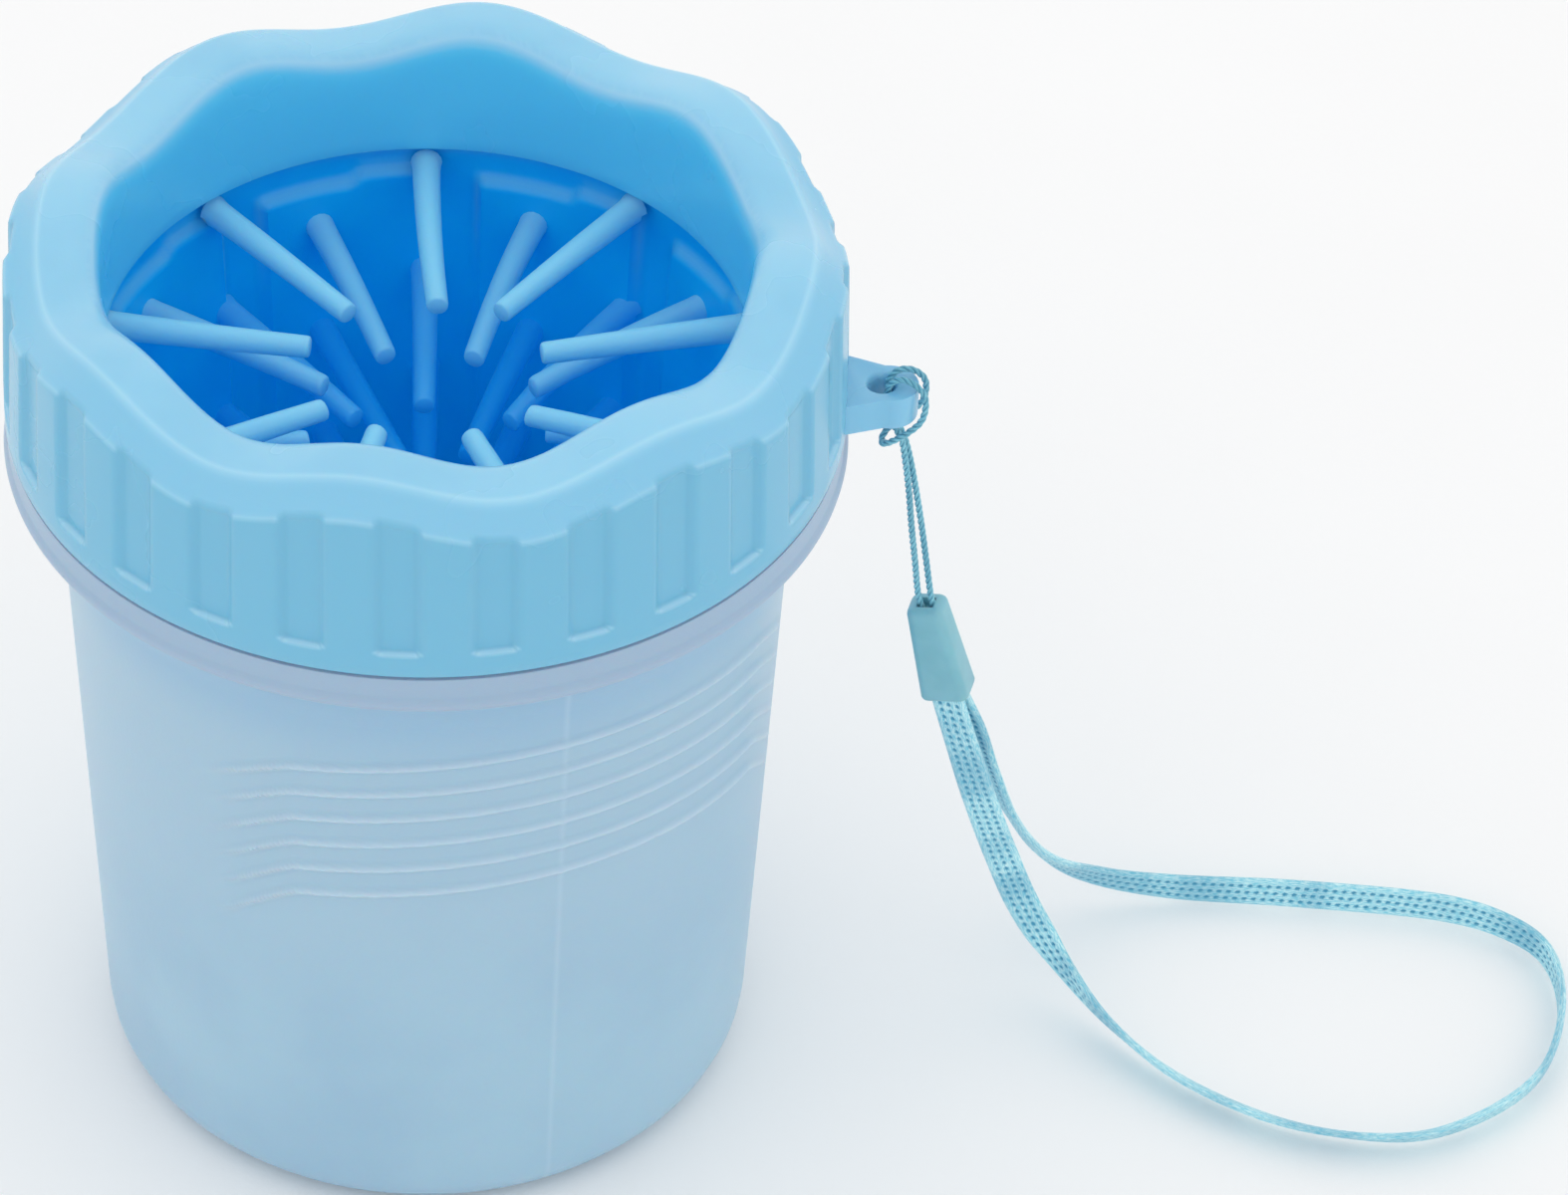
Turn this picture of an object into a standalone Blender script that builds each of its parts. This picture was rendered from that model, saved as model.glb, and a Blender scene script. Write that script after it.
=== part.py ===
"""Paw washer cup: a screw-lidded cup, the silicone brush sleeve inside it, and a wrist strap.

Metres, +Z up. The origin is the centre of the cup's flat base, and the eyelet points along +X.
Every piece is a separate closed solid with its own material. The brush sleeve and the lid hang
from empties on the cup's axis: unscrewing turns the lid about +Z while both of them rise.
"""

import math

import bmesh
import bpy
from mathutils import Vector

MM = 0.001

# Cup, all radii and heights in millimetres
CUP_COLUMNS = 64
CUP_WALL = 2.0
BASE_RADIUS = 38.0
BASE_CORNER = 6.0
SHOULDER_RADIUS = 41.4
SHOULDER_HEIGHT = 82.0
COLLAR_RADIUS = 46.9
COLLAR_BOTTOM = 87.4
COLLAR_TOP = 91.4
NECK_RADIUS = 43.0
NECK_INNER = 40.7
NECK_TOP = 106.2

# Lid
LID_RADIUS = 47.0
LID_BOTTOM = 91.75
LID_SKIRT_INNER = 44.9
LID_UNDERSIDE = 108.8
FUNNEL_INNER = 35.8
FUNNEL_OUTER = 37.5
FUNNEL_BOTTOM = 99.3
FUNNEL_BEAD = 0.9
RIM_RIDGE_RADIUS = 41.0
RIM_HEIGHT = 114.8
RIM_WAVES = 8
RIM_WAVE_HEIGHT = 1.6
RIM_WAVE_PHASE = math.radians(39)
FLUTE_COUNT = 28
FLUTE_DEPTH = 0.9
FLUTE_HALF_ANGLE = math.radians(3.3)
FLUTE_SLOPE_ANGLE = math.radians(0.9)
FLUTE_BOTTOM = 94.6

# Screw thread between the neck and the lid
THREAD_LEAD = 5.0
THREAD_TURNS = 1.1
THREAD_STEP = math.radians(6)
CUP_THREAD_RADIUS = 44.2
CUP_THREAD_START = 93.4
LID_THREAD_RADIUS = 43.5

# Eyelet on the lid
EYELET_TOP = 97.0
EYELET_BOTTOM = 93.0
EYELET_ROOT_HALF = 4.7
EYELET_TIP_RADIUS = 3.2
EYELET_TIP_X = 51.6
EYELET_HOLE_X = 50.6
EYELET_HOLE_RADIUS = 1.7

# Brush sleeve
SLEEVE_WALL = 1.7
SLEEVE_GAP = 0.6
SLEEVE_BOTTOM = 31.0
SLEEVE_TOP = 96.2
CUFF_INNER = 38.0
CUFF_OUTER = 40.2
FLANGE_RADIUS = 42.6
FLANGE_THICKNESS = 1.7
GROOVE_COUNT = 9
GROOVE_PHASE = math.radians(129)
GROOVE_HALF_ANGLE = math.radians(3.8)
PAD_HEIGHT = 0.8
WINDOW_BOTTOM = 96.3
WINDOW_TOP = 102.6

# Bristles
BRISTLE_ROWS = 9
BRISTLES_IN_ROW = 9
BRISTLE_TOP = 97.0
BRISTLE_PITCH = 7.4
BRISTLE_PHASE = math.radians(15)
BRISTLE_TIP_AT = 11.8
BRISTLE_ROOT_RADIUS = 1.4
BRISTLE_TIP_RADIUS = 1.05
BRISTLE_DROOP = 1.2
BRISTLE_SIDES = 6

# Lanyard
CORD_RADIUS = 0.45
STRAP_WIDTH = 4.0
STRAP_THICKNESS = 1.0
BEAD_TOP = (56.9, 0.0, 65.6)
BEAD_BOTTOM = (60.4, 0.0, 51.2)
BEAD_TOP_SIZE = (4.3, 3.9)
BEAD_BOTTOM_SIZE = (5.4, 4.6)
BEAD_WALL = 0.4
BEAD_TURN = math.radians(14)
BEAD_CORNER = 0.9
CRIMP_SIZE = (3.0, 2.5, 3.4)
CRIMP_AT = 0.46

# Both strands leave the bead upwards, rise through the eyelet's hole, pass over its outer arm and
# meet below it in a bight that holds them: a lark's head hitch.
CORD_ROUTE = (
    (57.15, 0.12, 62.0),
    (56.65, 0.1, 64.0),
    (56.05, 0.05, 66.2),
    (55.5, -0.1, 71.0),
    (54.85, -0.3, 76.5),
    (54.3, -0.5, 82.0),
    (53.7, -0.62, 86.5),
    (53.2, -0.62, 89.3),
    (52.3, -0.62, 91.3),
    (51.5, -0.62, 93.2),
    (51.35, -0.62, 95.2),
    (51.5, -0.68, 97.2),
    (52.6, -0.9, 98.25),
    (54.1, -1.25, 98.0),
    (55.35, -1.5, 96.7),
    (55.6, -1.65, 94.8),
    (55.1, -1.75, 92.9),
    (53.7, -1.8, 91.3),
    (52.2, -1.6, 90.0),
    (51.2, -0.9, 89.0),
    (51.0, 0.0, 88.7),
    (51.2, 0.9, 89.0),
    (52.2, 1.6, 90.0),
    (53.7, 1.8, 91.3),
    (55.1, 1.75, 92.9),
    (55.6, 1.65, 94.8),
    (55.35, 1.5, 96.7),
    (54.1, 1.25, 98.0),
    (52.6, 0.9, 98.25),
    (51.5, 0.68, 97.2),
    (51.35, 0.62, 95.2),
    (51.5, 0.62, 93.2),
    (52.3, 0.62, 91.3),
    (53.3, 0.62, 89.3),
    (54.1, 0.62, 86.5),
    (55.0, 0.45, 82.0),
    (55.95, 0.3, 76.5),
    (56.75, 0.1, 71.2),
    (57.5, -0.05, 66.2),
    (57.95, -0.1, 64.1),
    (58.35, -0.12, 62.2),
)

# The strap's middle line, from the bead to the table, round the loop and back, and the way that
# its width points at each place.
STRAP_ROUTE = (
    ((59.17, -0.78, 55.35), (1.0, -0.26, 0.24)),
    ((60.21, -0.78, 51.15), (1.0, -0.26, 0.24)),
    ((62.1, -0.3, 44.0), (1.0, -0.2, 0.3)),
    ((64.7, 1.2, 34.0), (1.0, 0.0, 0.3)),
    ((67.7, 3.2, 23.5), (0.9, 0.1, 0.4)),
    ((71.1, 4.4, 13.7), (0.6, 0.05, 0.65)),
    ((75.6, 2.9, 6.6), (0.2, -0.1, 0.8)),
    ((82.2, -4.7, 3.4), (-0.15, -0.45, 0.75)),
    ((90.9, -12.5, 2.2), (-0.3, -0.62, 0.66)),
    ((103.1, -18.9, 2.2), (-0.12, -0.75, 0.66)),
    ((116.0, -20.4, 2.25), (0.1, -0.6, 0.8)),
    ((125.1, -16.9, 2.3), (0.2, -0.4, 0.9)),
    ((132.9, -9.4, 2.3), (0.2, -0.2, 1.0)),
    ((136.4, 1.2, 2.3), (0.0, 0.0, 1.0)),
    ((135.7, 10.6, 2.3), (0.0, 0.05, 1.0)),
    ((131.3, 16.0, 2.3), (0.0, 0.1, 1.0)),
    ((122.4, 19.4, 2.3), (0.0, 0.15, 1.0)),
    ((105.0, 20.7, 2.3), (0.0, 0.15, 1.0)),
    ((89.9, 20.8, 2.5), (0.0, 0.0, 1.0)),
    ((80.2, 19.0, 5.6), (0.2, -0.35, 0.9)),
    ((73.4, 13.3, 14.2), (0.45, -0.75, 0.45)),
    ((68.9, 9.1, 24.2), (0.55, -0.85, 0.0)),
    ((65.4, 5.0, 35.5), (0.8, -0.6, 0.15)),
    ((63.0, 2.0, 44.6), (1.0, -0.35, 0.25)),
    ((60.59, 0.78, 51.25), (1.0, -0.26, 0.24)),
    ((59.55, 0.78, 55.45), (1.0, -0.26, 0.24)),
)


def clear_scene():
    for obj in list(bpy.data.objects):
        bpy.data.objects.remove(obj)


def srgb(hex_colour):
    """A hex colour as linear red, green, blue and full alpha."""
    channels = [int(hex_colour[i : i + 2], 16) / 255 for i in (1, 3, 5)]
    linear = [c / 12.92 if c <= 0.04045 else ((c + 0.055) / 1.055) ** 2.4 for c in channels]
    return (*linear, 1.0)


def plastic(name, hex_colour, roughness, metallic=0.0, alpha=1.0):
    material = bpy.data.materials.new(name)
    material.use_nodes = True
    shader = material.node_tree.nodes["Principled BSDF"]
    shader.inputs["Base Color"].default_value = srgb(hex_colour)
    shader.inputs["Roughness"].default_value = roughness
    shader.inputs["Metallic"].default_value = metallic
    shader.inputs["Alpha"].default_value = alpha
    return material


def object_from(bm, name, material, parent=None):
    """Turns a bmesh, which is in millimetres, into a named object in metres, shaded smooth."""
    bmesh.ops.scale(bm, vec=(MM, MM, MM), verts=bm.verts)
    bmesh.ops.recalc_face_normals(bm, faces=bm.faces)
    mesh = bpy.data.meshes.new(name)
    bm.to_mesh(mesh)
    bm.free()
    mesh.shade_smooth()
    mesh.set_sharp_from_angle(angle=math.radians(35))
    obj = bpy.data.objects.new(name, mesh)
    bpy.context.scene.collection.objects.link(obj)
    if material:
        obj.data.materials.append(material)
    if parent:
        obj.parent = parent
    return obj


def axis_empty(name, parent=None):
    empty = bpy.data.objects.new(name, None)
    bpy.context.scene.collection.objects.link(empty)
    empty.parent = parent
    return empty


def boolean(target, cutter, operation):
    """Joins a helper to the target, or cuts it away. The helper is left out of the model."""
    cutter.hide_render = True
    cutter.display_type = "WIRE"
    cutter.parent = target.parent
    modifier = target.modifiers.new(cutter.name, "BOOLEAN")
    modifier.operation = operation
    modifier.solver = "EXACT"
    modifier.object = cutter


def ring_of(bm, angles, point_at):
    """One closed ring of vertices. point_at gives the radius and height at an angle."""
    ring = []
    for angle in angles:
        radius, height = point_at(angle)
        ring.append(bm.verts.new((radius * math.cos(angle), radius * math.sin(angle), height)))
    return ring


def bridge(bm, lower, upper):
    """Quads between two rings of the same count, or triangles and quads where upper has half."""
    count, step = len(lower), len(lower) // len(upper)
    for i in range(0, count, step):
        after = (i + step) % count
        first, second = upper[i // step], upper[(i // step + 1) % len(upper)]
        if step == 1:
            bm.faces.new((lower[i], lower[after], second, first))
        else:
            middle = lower[i + 1]
            bm.faces.new((lower[i], middle, first))
            bm.faces.new((middle, second, first))
            bm.faces.new((middle, lower[after], second))


def even_angles(count, start=0.0):
    return [start + 2 * math.pi * i / count for i in range(count)]


def smooth_curve(points, samples):
    """Points on a Catmull-Rom curve through the given points, each a tuple of any length."""
    found = []
    for i in range(len(points) - 1):
        before, start = points[max(i - 1, 0)], points[i]
        end, after = points[i + 1], points[min(i + 2, len(points) - 1)]
        for k in range(samples):
            t = k / samples
            found.append(
                tuple(
                    0.5
                    * (
                        2 * b
                        + (c - a) * t
                        + (2 * a - 5 * b + 4 * c - d) * t * t
                        + (3 * b - a - 3 * c + d) * t**3
                    )
                    for a, b, c, d in zip(before, start, end, after)
                )
            )
    found.append(tuple(points[-1]))
    return found


def cup_outer(height):
    """The outer radius of the cup's tapered wall."""
    share = (height - BASE_CORNER) / (SHOULDER_HEIGHT - BASE_CORNER)
    return BASE_RADIUS + (SHOULDER_RADIUS - BASE_RADIUS) * share


def cup_profile():
    """The cup's section as radius and height, from the base's middle out, up, over and back in."""
    outside = [(12.0, 0.0), (BASE_RADIUS - BASE_CORNER, 0.0)]
    for step in (1, 2, 3, 4):
        angle = math.radians(22.5 * step)
        outside.append(
            (
                BASE_RADIUS - BASE_CORNER * (1 - math.sin(angle)),
                BASE_CORNER * (1 - math.cos(angle)),
            )
        )
    outside += [
        (cup_outer(45), 45.0),
        (SHOULDER_RADIUS, SHOULDER_HEIGHT),
        (COLLAR_RADIUS - 0.8, COLLAR_BOTTOM - 0.9),
        (COLLAR_RADIUS, COLLAR_BOTTOM),
        (COLLAR_RADIUS, COLLAR_TOP - 0.3),
        (COLLAR_RADIUS - 0.3, COLLAR_TOP),
        (NECK_RADIUS, COLLAR_TOP),
        (NECK_RADIUS, NECK_TOP - 0.5),
        (NECK_RADIUS - 0.5, NECK_TOP),
        (NECK_INNER, NECK_TOP),
    ]
    inside = [
        (NECK_INNER, COLLAR_BOTTOM),
        (cup_outer(SHOULDER_HEIGHT) - CUP_WALL, SHOULDER_HEIGHT),
        (cup_outer(45) - CUP_WALL, 45.0),
        (cup_outer(BASE_CORNER) - CUP_WALL, BASE_CORNER + 0.5),
        (BASE_RADIUS - BASE_CORNER + 2.4, CUP_WALL + 1.0),
        (BASE_RADIUS - BASE_CORNER, CUP_WALL),
        (12.0, CUP_WALL),
    ]
    return outside, inside


def make_cup(material):
    bm = bmesh.new()
    angles = even_angles(CUP_COLUMNS)
    outside, inside = cup_profile()
    rings = [ring_of(bm, angles, lambda _, place=place: place) for place in outside + inside]
    for lower, upper in zip(rings, rings[1:]):
        bridge(bm, lower, upper)
    bm.faces.new(rings[0])
    bm.faces.new(rings[-1])
    cup = object_from(bm, "cup_body", material)
    boolean(cup, make_thread("cup_thread", NECK_RADIUS - 0.5, CUP_THREAD_RADIUS, 0.0), "UNION")
    return cup


def make_thread(name, root, crest, raised):
    """A helical ridge of trapezoid section, whose ends sink into the wall that carries it."""
    bm = bmesh.new()
    steps = round(THREAD_TURNS * 2 * math.pi / THREAD_STEP)
    sections = []
    for step in range(steps + 1):
        angle = step * THREAD_STEP
        height = CUP_THREAD_START + raised + THREAD_LEAD * angle / (2 * math.pi)
        fade = min(1.0, step / 3, (steps - step) / 3)
        tip = root + (crest - root) * (0.15 + 0.85 * fade)
        section = []
        for radius, offset in ((root, -1.1), (tip, -0.5), (tip, 0.5), (root, 1.1)):
            place = (radius * math.cos(angle), radius * math.sin(angle), height + offset)
            section.append(bm.verts.new(place))
        sections.append(section)
    for first, second in zip(sections, sections[1:]):
        for i in range(4):
            after = (i + 1) % 4
            bm.faces.new((first[i], second[i], second[after], first[after]))
    bm.faces.new(sections[0])
    bm.faces.new(sections[-1])
    return object_from(bm, name, None)


def rim_wave(angle):
    return RIM_WAVE_HEIGHT * math.cos(RIM_WAVES * (angle - RIM_WAVE_PHASE))


def lid_angles():
    """Four columns for each flute: its two upper edges and the two edges of its floor."""
    found = []
    for flute in range(FLUTE_COUNT):
        middle = math.radians(-90) + 2 * math.pi * flute / FLUTE_COUNT
        for offset in (-1, 1):
            slope = -FLUTE_SLOPE_ANGLE if offset < 0 else FLUTE_SLOPE_ANGLE
            pair = [middle + offset * FLUTE_HALF_ANGLE + slope, middle + offset * FLUTE_HALF_ANGLE]
            found += pair if offset < 0 else pair[::-1]
    return found


def lid_rows():
    """The lid's rows, from the skirt's foot up its outside, over the rim and down the funnel.

    Each is a radius, a height, how much of the rim's wave it follows, and whether it is cut by
    the flutes.
    """
    return (
        (LID_RADIUS - 0.5, LID_BOTTOM, 0, False),
        (LID_RADIUS, LID_BOTTOM + 0.5, 0, False),
        (LID_RADIUS, FLUTE_BOTTOM, 0, False),
        (LID_RADIUS, FLUTE_BOTTOM + 0.8, 0, True),
        (LID_RADIUS, RIM_HEIGHT - 6.4, 0.9, True),
        (LID_RADIUS - 0.2, RIM_HEIGHT - 5.2, 1, False),
        (LID_RADIUS - 1.6, RIM_HEIGHT - 2.6, 1, False),
        (LID_RADIUS - 3.6, RIM_HEIGHT - 0.8, 1, False),
        (RIM_RIDGE_RADIUS, RIM_HEIGHT, 1, False),
        (FUNNEL_INNER + 2.6, RIM_HEIGHT - 0.5, 1, False),
        (FUNNEL_INNER + 0.8, RIM_HEIGHT - 1.7, 1, False),
        (FUNNEL_INNER, RIM_HEIGHT - 3.6, 1, False),
        (FUNNEL_INNER, FUNNEL_BOTTOM + 0.4, 0, False),
    )


def lid_inner_places():
    """The lid's hidden section: the funnel's bead and outside, the underside and the skirt's inside."""
    bead = FUNNEL_OUTER + FUNNEL_BEAD
    return (
        (FUNNEL_INNER + 0.4, FUNNEL_BOTTOM),
        (FUNNEL_OUTER + 0.4, FUNNEL_BOTTOM),
        (bead, FUNNEL_BOTTOM + 0.5),
        (bead, FUNNEL_BOTTOM + 1.2),
        (FUNNEL_OUTER, FUNNEL_BOTTOM + 1.8),
        (FUNNEL_OUTER, LID_UNDERSIDE),
        (LID_SKIRT_INNER, LID_UNDERSIDE),
        (LID_SKIRT_INNER, LID_BOTTOM + 0.4),
        (LID_SKIRT_INNER + 0.4, LID_BOTTOM),
    )


def make_lid(material, parent):
    bm = bmesh.new()
    angles = lid_angles()
    half_angles = angles[::2]
    rings = []
    for radius, height, wave, fluted in lid_rows():
        ring = []
        for i, angle in enumerate(angles):
            cut = FLUTE_DEPTH if fluted and i % 4 in (1, 2) else 0
            place = (
                (radius - cut) * math.cos(angle),
                (radius - cut) * math.sin(angle),
                height + wave * rim_wave(angle),
            )
            ring.append(bm.verts.new(place))
        rings.append(ring)
    for lower, upper in zip(rings, rings[1:]):
        bridge(bm, lower, upper)
    inner = [ring_of(bm, half_angles, lambda _, place=place: place) for place in lid_inner_places()]
    bridge(bm, rings[-1], inner[0])
    for lower, upper in zip(inner, inner[1:]):
        bridge(bm, lower, upper)
    bridge(bm, rings[0], inner[-1])
    lid = object_from(bm, "lid_ring", material, parent)
    thread = make_thread(
        "lid_thread", LID_SKIRT_INNER + 0.5, LID_THREAD_RADIUS, THREAD_LEAD / 2
    )
    boolean(lid, thread, "UNION")
    boolean(lid, make_eyelet(), "UNION")
    return lid


def make_eyelet():
    """A flat loop that stands out of the lid's side: a tapered outline round a drilled hole."""
    bm = bmesh.new()
    lean = math.radians(12)
    outline = [(LID_RADIUS - 1.4, -EYELET_ROOT_HALF), (LID_RADIUS, -EYELET_ROOT_HALF)]
    for step in range(9):
        angle = -math.pi / 2 + lean + (math.pi - 2 * lean) * step / 8
        outline.append(
            (
                EYELET_TIP_X + EYELET_TIP_RADIUS * math.cos(angle),
                EYELET_TIP_RADIUS * math.sin(angle),
            )
        )
    outline += [(LID_RADIUS, EYELET_ROOT_HALF), (LID_RADIUS - 1.4, EYELET_ROOT_HALF)]
    verts = [bm.verts.new((x, y, EYELET_BOTTOM)) for x, y in outline]
    floor = bm.faces.new(verts)
    raised = bmesh.ops.extrude_face_region(bm, geom=[floor])["geom"]
    top = [v for v in raised if isinstance(v, bmesh.types.BMVert)]
    bmesh.ops.translate(bm, verts=top, vec=(0, 0, EYELET_TOP - EYELET_BOTTOM))
    eyelet = object_from(bm, "eyelet_plate", None)
    drill_bm = bmesh.new()
    bmesh.ops.create_cone(
        drill_bm,
        cap_ends=True,
        segments=16,
        radius1=EYELET_HOLE_RADIUS,
        radius2=EYELET_HOLE_RADIUS,
        depth=EYELET_TOP - EYELET_BOTTOM + 2,
    )
    middle = (EYELET_HOLE_X, 0, (EYELET_TOP + EYELET_BOTTOM) / 2)
    bmesh.ops.translate(drill_bm, verts=drill_bm.verts, vec=middle)
    boolean(eyelet, object_from(drill_bm, "eyelet_drill", None), "DIFFERENCE")
    return eyelet


def sleeve_outer(height):
    """The sleeve's outside keeps one gap to the cup's tapered inside."""
    return cup_outer(height) - CUP_WALL - SLEEVE_GAP


def sleeve_angles():
    """Columns at both edges of each groove, and evenly between them."""
    found = []
    period = 2 * math.pi / GROOVE_COUNT
    edges = (-GROOVE_HALF_ANGLE, GROOVE_HALF_ANGLE)
    pad_steps = 5
    for groove in range(GROOVE_COUNT):
        middle = GROOVE_PHASE + groove * period
        found += [middle + edges[0], middle + edges[1]]
        pad = period - 2 * GROOVE_HALF_ANGLE
        rise = math.radians(1.2)
        starts = [rise + (pad - 2 * rise) * k / pad_steps for k in range(pad_steps + 1)]
        found += [middle + GROOVE_HALF_ANGLE + start for start in starts]
    return found


def make_sleeve_wall(material, parent):
    bm = bmesh.new()
    angles = sleeve_angles()
    per_groove = len(angles) // GROOVE_COUNT

    def ring(radius, height, padded=False):
        verts = []
        for i, angle in enumerate(angles):
            raised = PAD_HEIGHT if padded and i % per_groove > 1 else 0
            inner = radius - raised
            verts.append(bm.verts.new((inner * math.cos(angle), inner * math.sin(angle), height)))
        return verts

    flange_bottom = NECK_TOP + 0.3
    outer_low, outer_high = sleeve_outer(SLEEVE_BOTTOM), sleeve_outer(SHOULDER_HEIGHT)
    rings = [
        ring(outer_low, SLEEVE_BOTTOM),
        ring(outer_high, SHOULDER_HEIGHT),
        ring(CUFF_OUTER, COLLAR_BOTTOM + 2.5),
        ring(CUFF_OUTER, flange_bottom),
        ring(FLANGE_RADIUS, flange_bottom),
        ring(FLANGE_RADIUS, flange_bottom + FLANGE_THICKNESS),
        ring(CUFF_INNER, flange_bottom + FLANGE_THICKNESS),
        ring(CUFF_INNER, FUNNEL_BOTTOM + 2.2),
        ring(CUFF_INNER + 0.9, FUNNEL_BOTTOM + 1.5),
        ring(CUFF_INNER + 0.9, FUNNEL_BOTTOM - 0.4),
        ring(CUFF_INNER - 0.4, FUNNEL_BOTTOM - 0.8),
        ring(CUFF_INNER - 0.9, SLEEVE_TOP + 0.8),
        ring(CUFF_INNER - 1.1, SLEEVE_TOP - 0.6, padded=True),
        ring(outer_high - SLEEVE_WALL, SHOULDER_HEIGHT, padded=True),
        ring(outer_low - SLEEVE_WALL, SLEEVE_BOTTOM + 1.2, padded=True),
        ring(outer_low - SLEEVE_WALL + 0.2, SLEEVE_BOTTOM),
    ]
    for lower, upper in zip(rings, rings[1:] + rings[:1]):
        bridge(bm, lower, upper)
    return object_from(bm, "brush_sleeve", material, parent)


def bristle_rows():
    """The height of each row of bristles and the angle of its first one. Rows are staggered."""
    for row in range(BRISTLE_ROWS):
        stagger = math.pi / BRISTLES_IN_ROW if row % 2 else 0
        yield BRISTLE_TOP - row * BRISTLE_PITCH, BRISTLE_PHASE + stagger


def add_bristle(bm, height, angle):
    """A tapered peg that points at the axis and droops a little towards its flat tip."""
    root_at = sleeve_outer(min(height, SHOULDER_HEIGHT)) - SLEEVE_WALL / 2
    droops = ((root_at, BRISTLE_ROOT_RADIUS, 0.0), (BRISTLE_TIP_AT, BRISTLE_TIP_RADIUS, 1.0))
    rings = []
    for distance, radius, share in droops:
        ring = []
        for side in range(BRISTLE_SIDES):
            turn = 2 * math.pi * side / BRISTLE_SIDES
            across = radius * math.cos(turn)
            up = height + radius * math.sin(turn) - BRISTLE_DROOP * share
            x = distance * math.cos(angle) - across * math.sin(angle)
            y = distance * math.sin(angle) + across * math.cos(angle)
            ring.append(bm.verts.new((x, y, up)))
        rings.append(ring)
    bridge(bm, rings[0], rings[1])
    bm.faces.new(rings[0])
    bm.faces.new(rings[1])


def make_brush(material, parent):
    sleeve = make_sleeve_wall(material, parent)
    bm = bmesh.new()
    for height, first in bristle_rows():
        for angle in even_angles(BRISTLES_IN_ROW, first):
            add_bristle(bm, height, angle)
    boolean(sleeve, object_from(bm, "bristle_pegs", None), "UNION")
    boolean(sleeve, make_window_cutter(), "DIFFERENCE")
    return sleeve


def make_window_cutter():
    """Nine blocks that cut the drain windows at the tops of the grooves."""
    bm = bmesh.new()
    half = GROOVE_HALF_ANGLE * 0.85
    for groove in range(GROOVE_COUNT):
        middle = GROOVE_PHASE + 2 * math.pi * groove / GROOVE_COUNT
        corners = []
        for height in (WINDOW_BOTTOM, WINDOW_TOP):
            for radius, side in ((35, -half), (42, -half), (42, half), (35, half)):
                angle = middle + side
                place = (radius * math.cos(angle), radius * math.sin(angle), height)
                corners.append(bm.verts.new(place))
        low, high = corners[:4], corners[4:]
        bridge(bm, low, high)
        bm.faces.new(low)
        bm.faces.new(high)
    return object_from(bm, "window_cutter", None)


def make_cord(material, parent):
    """One thin cord, both of whose ends are in the bead."""
    points = smooth_curve(CORD_ROUTE, 2)[:-1]
    curve = bpy.data.curves.new("loop_cord", "CURVE")
    curve.dimensions = "3D"
    curve.bevel_depth = CORD_RADIUS * MM
    curve.bevel_resolution = 2
    curve.use_fill_caps = True
    spline = curve.splines.new("POLY")
    spline.points.add(len(points) - 1)
    for point, (x, y, z) in zip(spline.points, points):
        point.co = (x * MM, y * MM, z * MM, 1)
    curve.materials.append(material)
    cord = bpy.data.objects.new("loop_cord", curve)
    bpy.context.scene.collection.objects.link(cord)
    cord.parent = parent
    return cord


def make_strap(material, parent):
    """A flat woven band, swept along its route with its width turning as it goes."""
    bm = bmesh.new()
    stations = smooth_curve([(*place, *width) for place, width in STRAP_ROUTE], 3)
    places = [Vector(s[:3]) for s in stations]
    sections = []
    for i, station in enumerate(stations):
        ahead = places[min(i + 1, len(places) - 1)]
        tangent = (ahead - places[max(i - 1, 0)]).normalized()
        width = Vector(station[3:])
        width = (width - tangent * width.dot(tangent)).normalized() * STRAP_WIDTH / 2
        depth = tangent.cross(width).normalized() * STRAP_THICKNESS / 2
        corners = (width + depth, width - depth, -width - depth, -width + depth)
        sections.append([bm.verts.new(places[i] + corner) for corner in corners])
    for first, second in zip(sections, sections[1:]):
        bridge(bm, first, second)
    bm.faces.new(sections[0])
    bm.faces.new(sections[-1])
    return object_from(bm, "wrist_strap", material, parent)


def rounded_outline(width, depth, corner):
    """A rectangle's outline with rounded corners, as points round its middle."""
    found = []
    for quarter, (sx, sy) in enumerate(((1, 1), (-1, 1), (-1, -1), (1, -1))):
        for step in range(3):
            angle = math.pi / 2 * quarter + math.pi / 4 * step
            x = sx * (width / 2 - corner) + corner * math.cos(angle)
            y = sy * (depth / 2 - corner) + corner * math.sin(angle)
            found.append((x, y))
    return found


def bead_frame():
    """The bead's axis, and the directions of its wide and its narrow side."""
    axis = (Vector(BEAD_BOTTOM) - Vector(BEAD_TOP)).normalized()
    wide = Vector((math.cos(BEAD_TURN), -math.sin(BEAD_TURN), 0))
    wide = (wide - axis * wide.dot(axis)).normalized()
    return axis, wide, axis.cross(wide)


def bead_section(bm, share, inset, corner):
    """A ring of the bead's outline at a share of its length from the top."""
    _, wide, narrow = bead_frame()
    middle = Vector(BEAD_TOP).lerp(Vector(BEAD_BOTTOM), share)
    width = BEAD_TOP_SIZE[0] + (BEAD_BOTTOM_SIZE[0] - BEAD_TOP_SIZE[0]) * share - 2 * inset
    depth = BEAD_TOP_SIZE[1] + (BEAD_BOTTOM_SIZE[1] - BEAD_TOP_SIZE[1]) * share - 2 * inset
    return [
        bm.verts.new(middle + wide * x + narrow * y)
        for x, y in rounded_outline(width, depth, corner)
    ]


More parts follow.
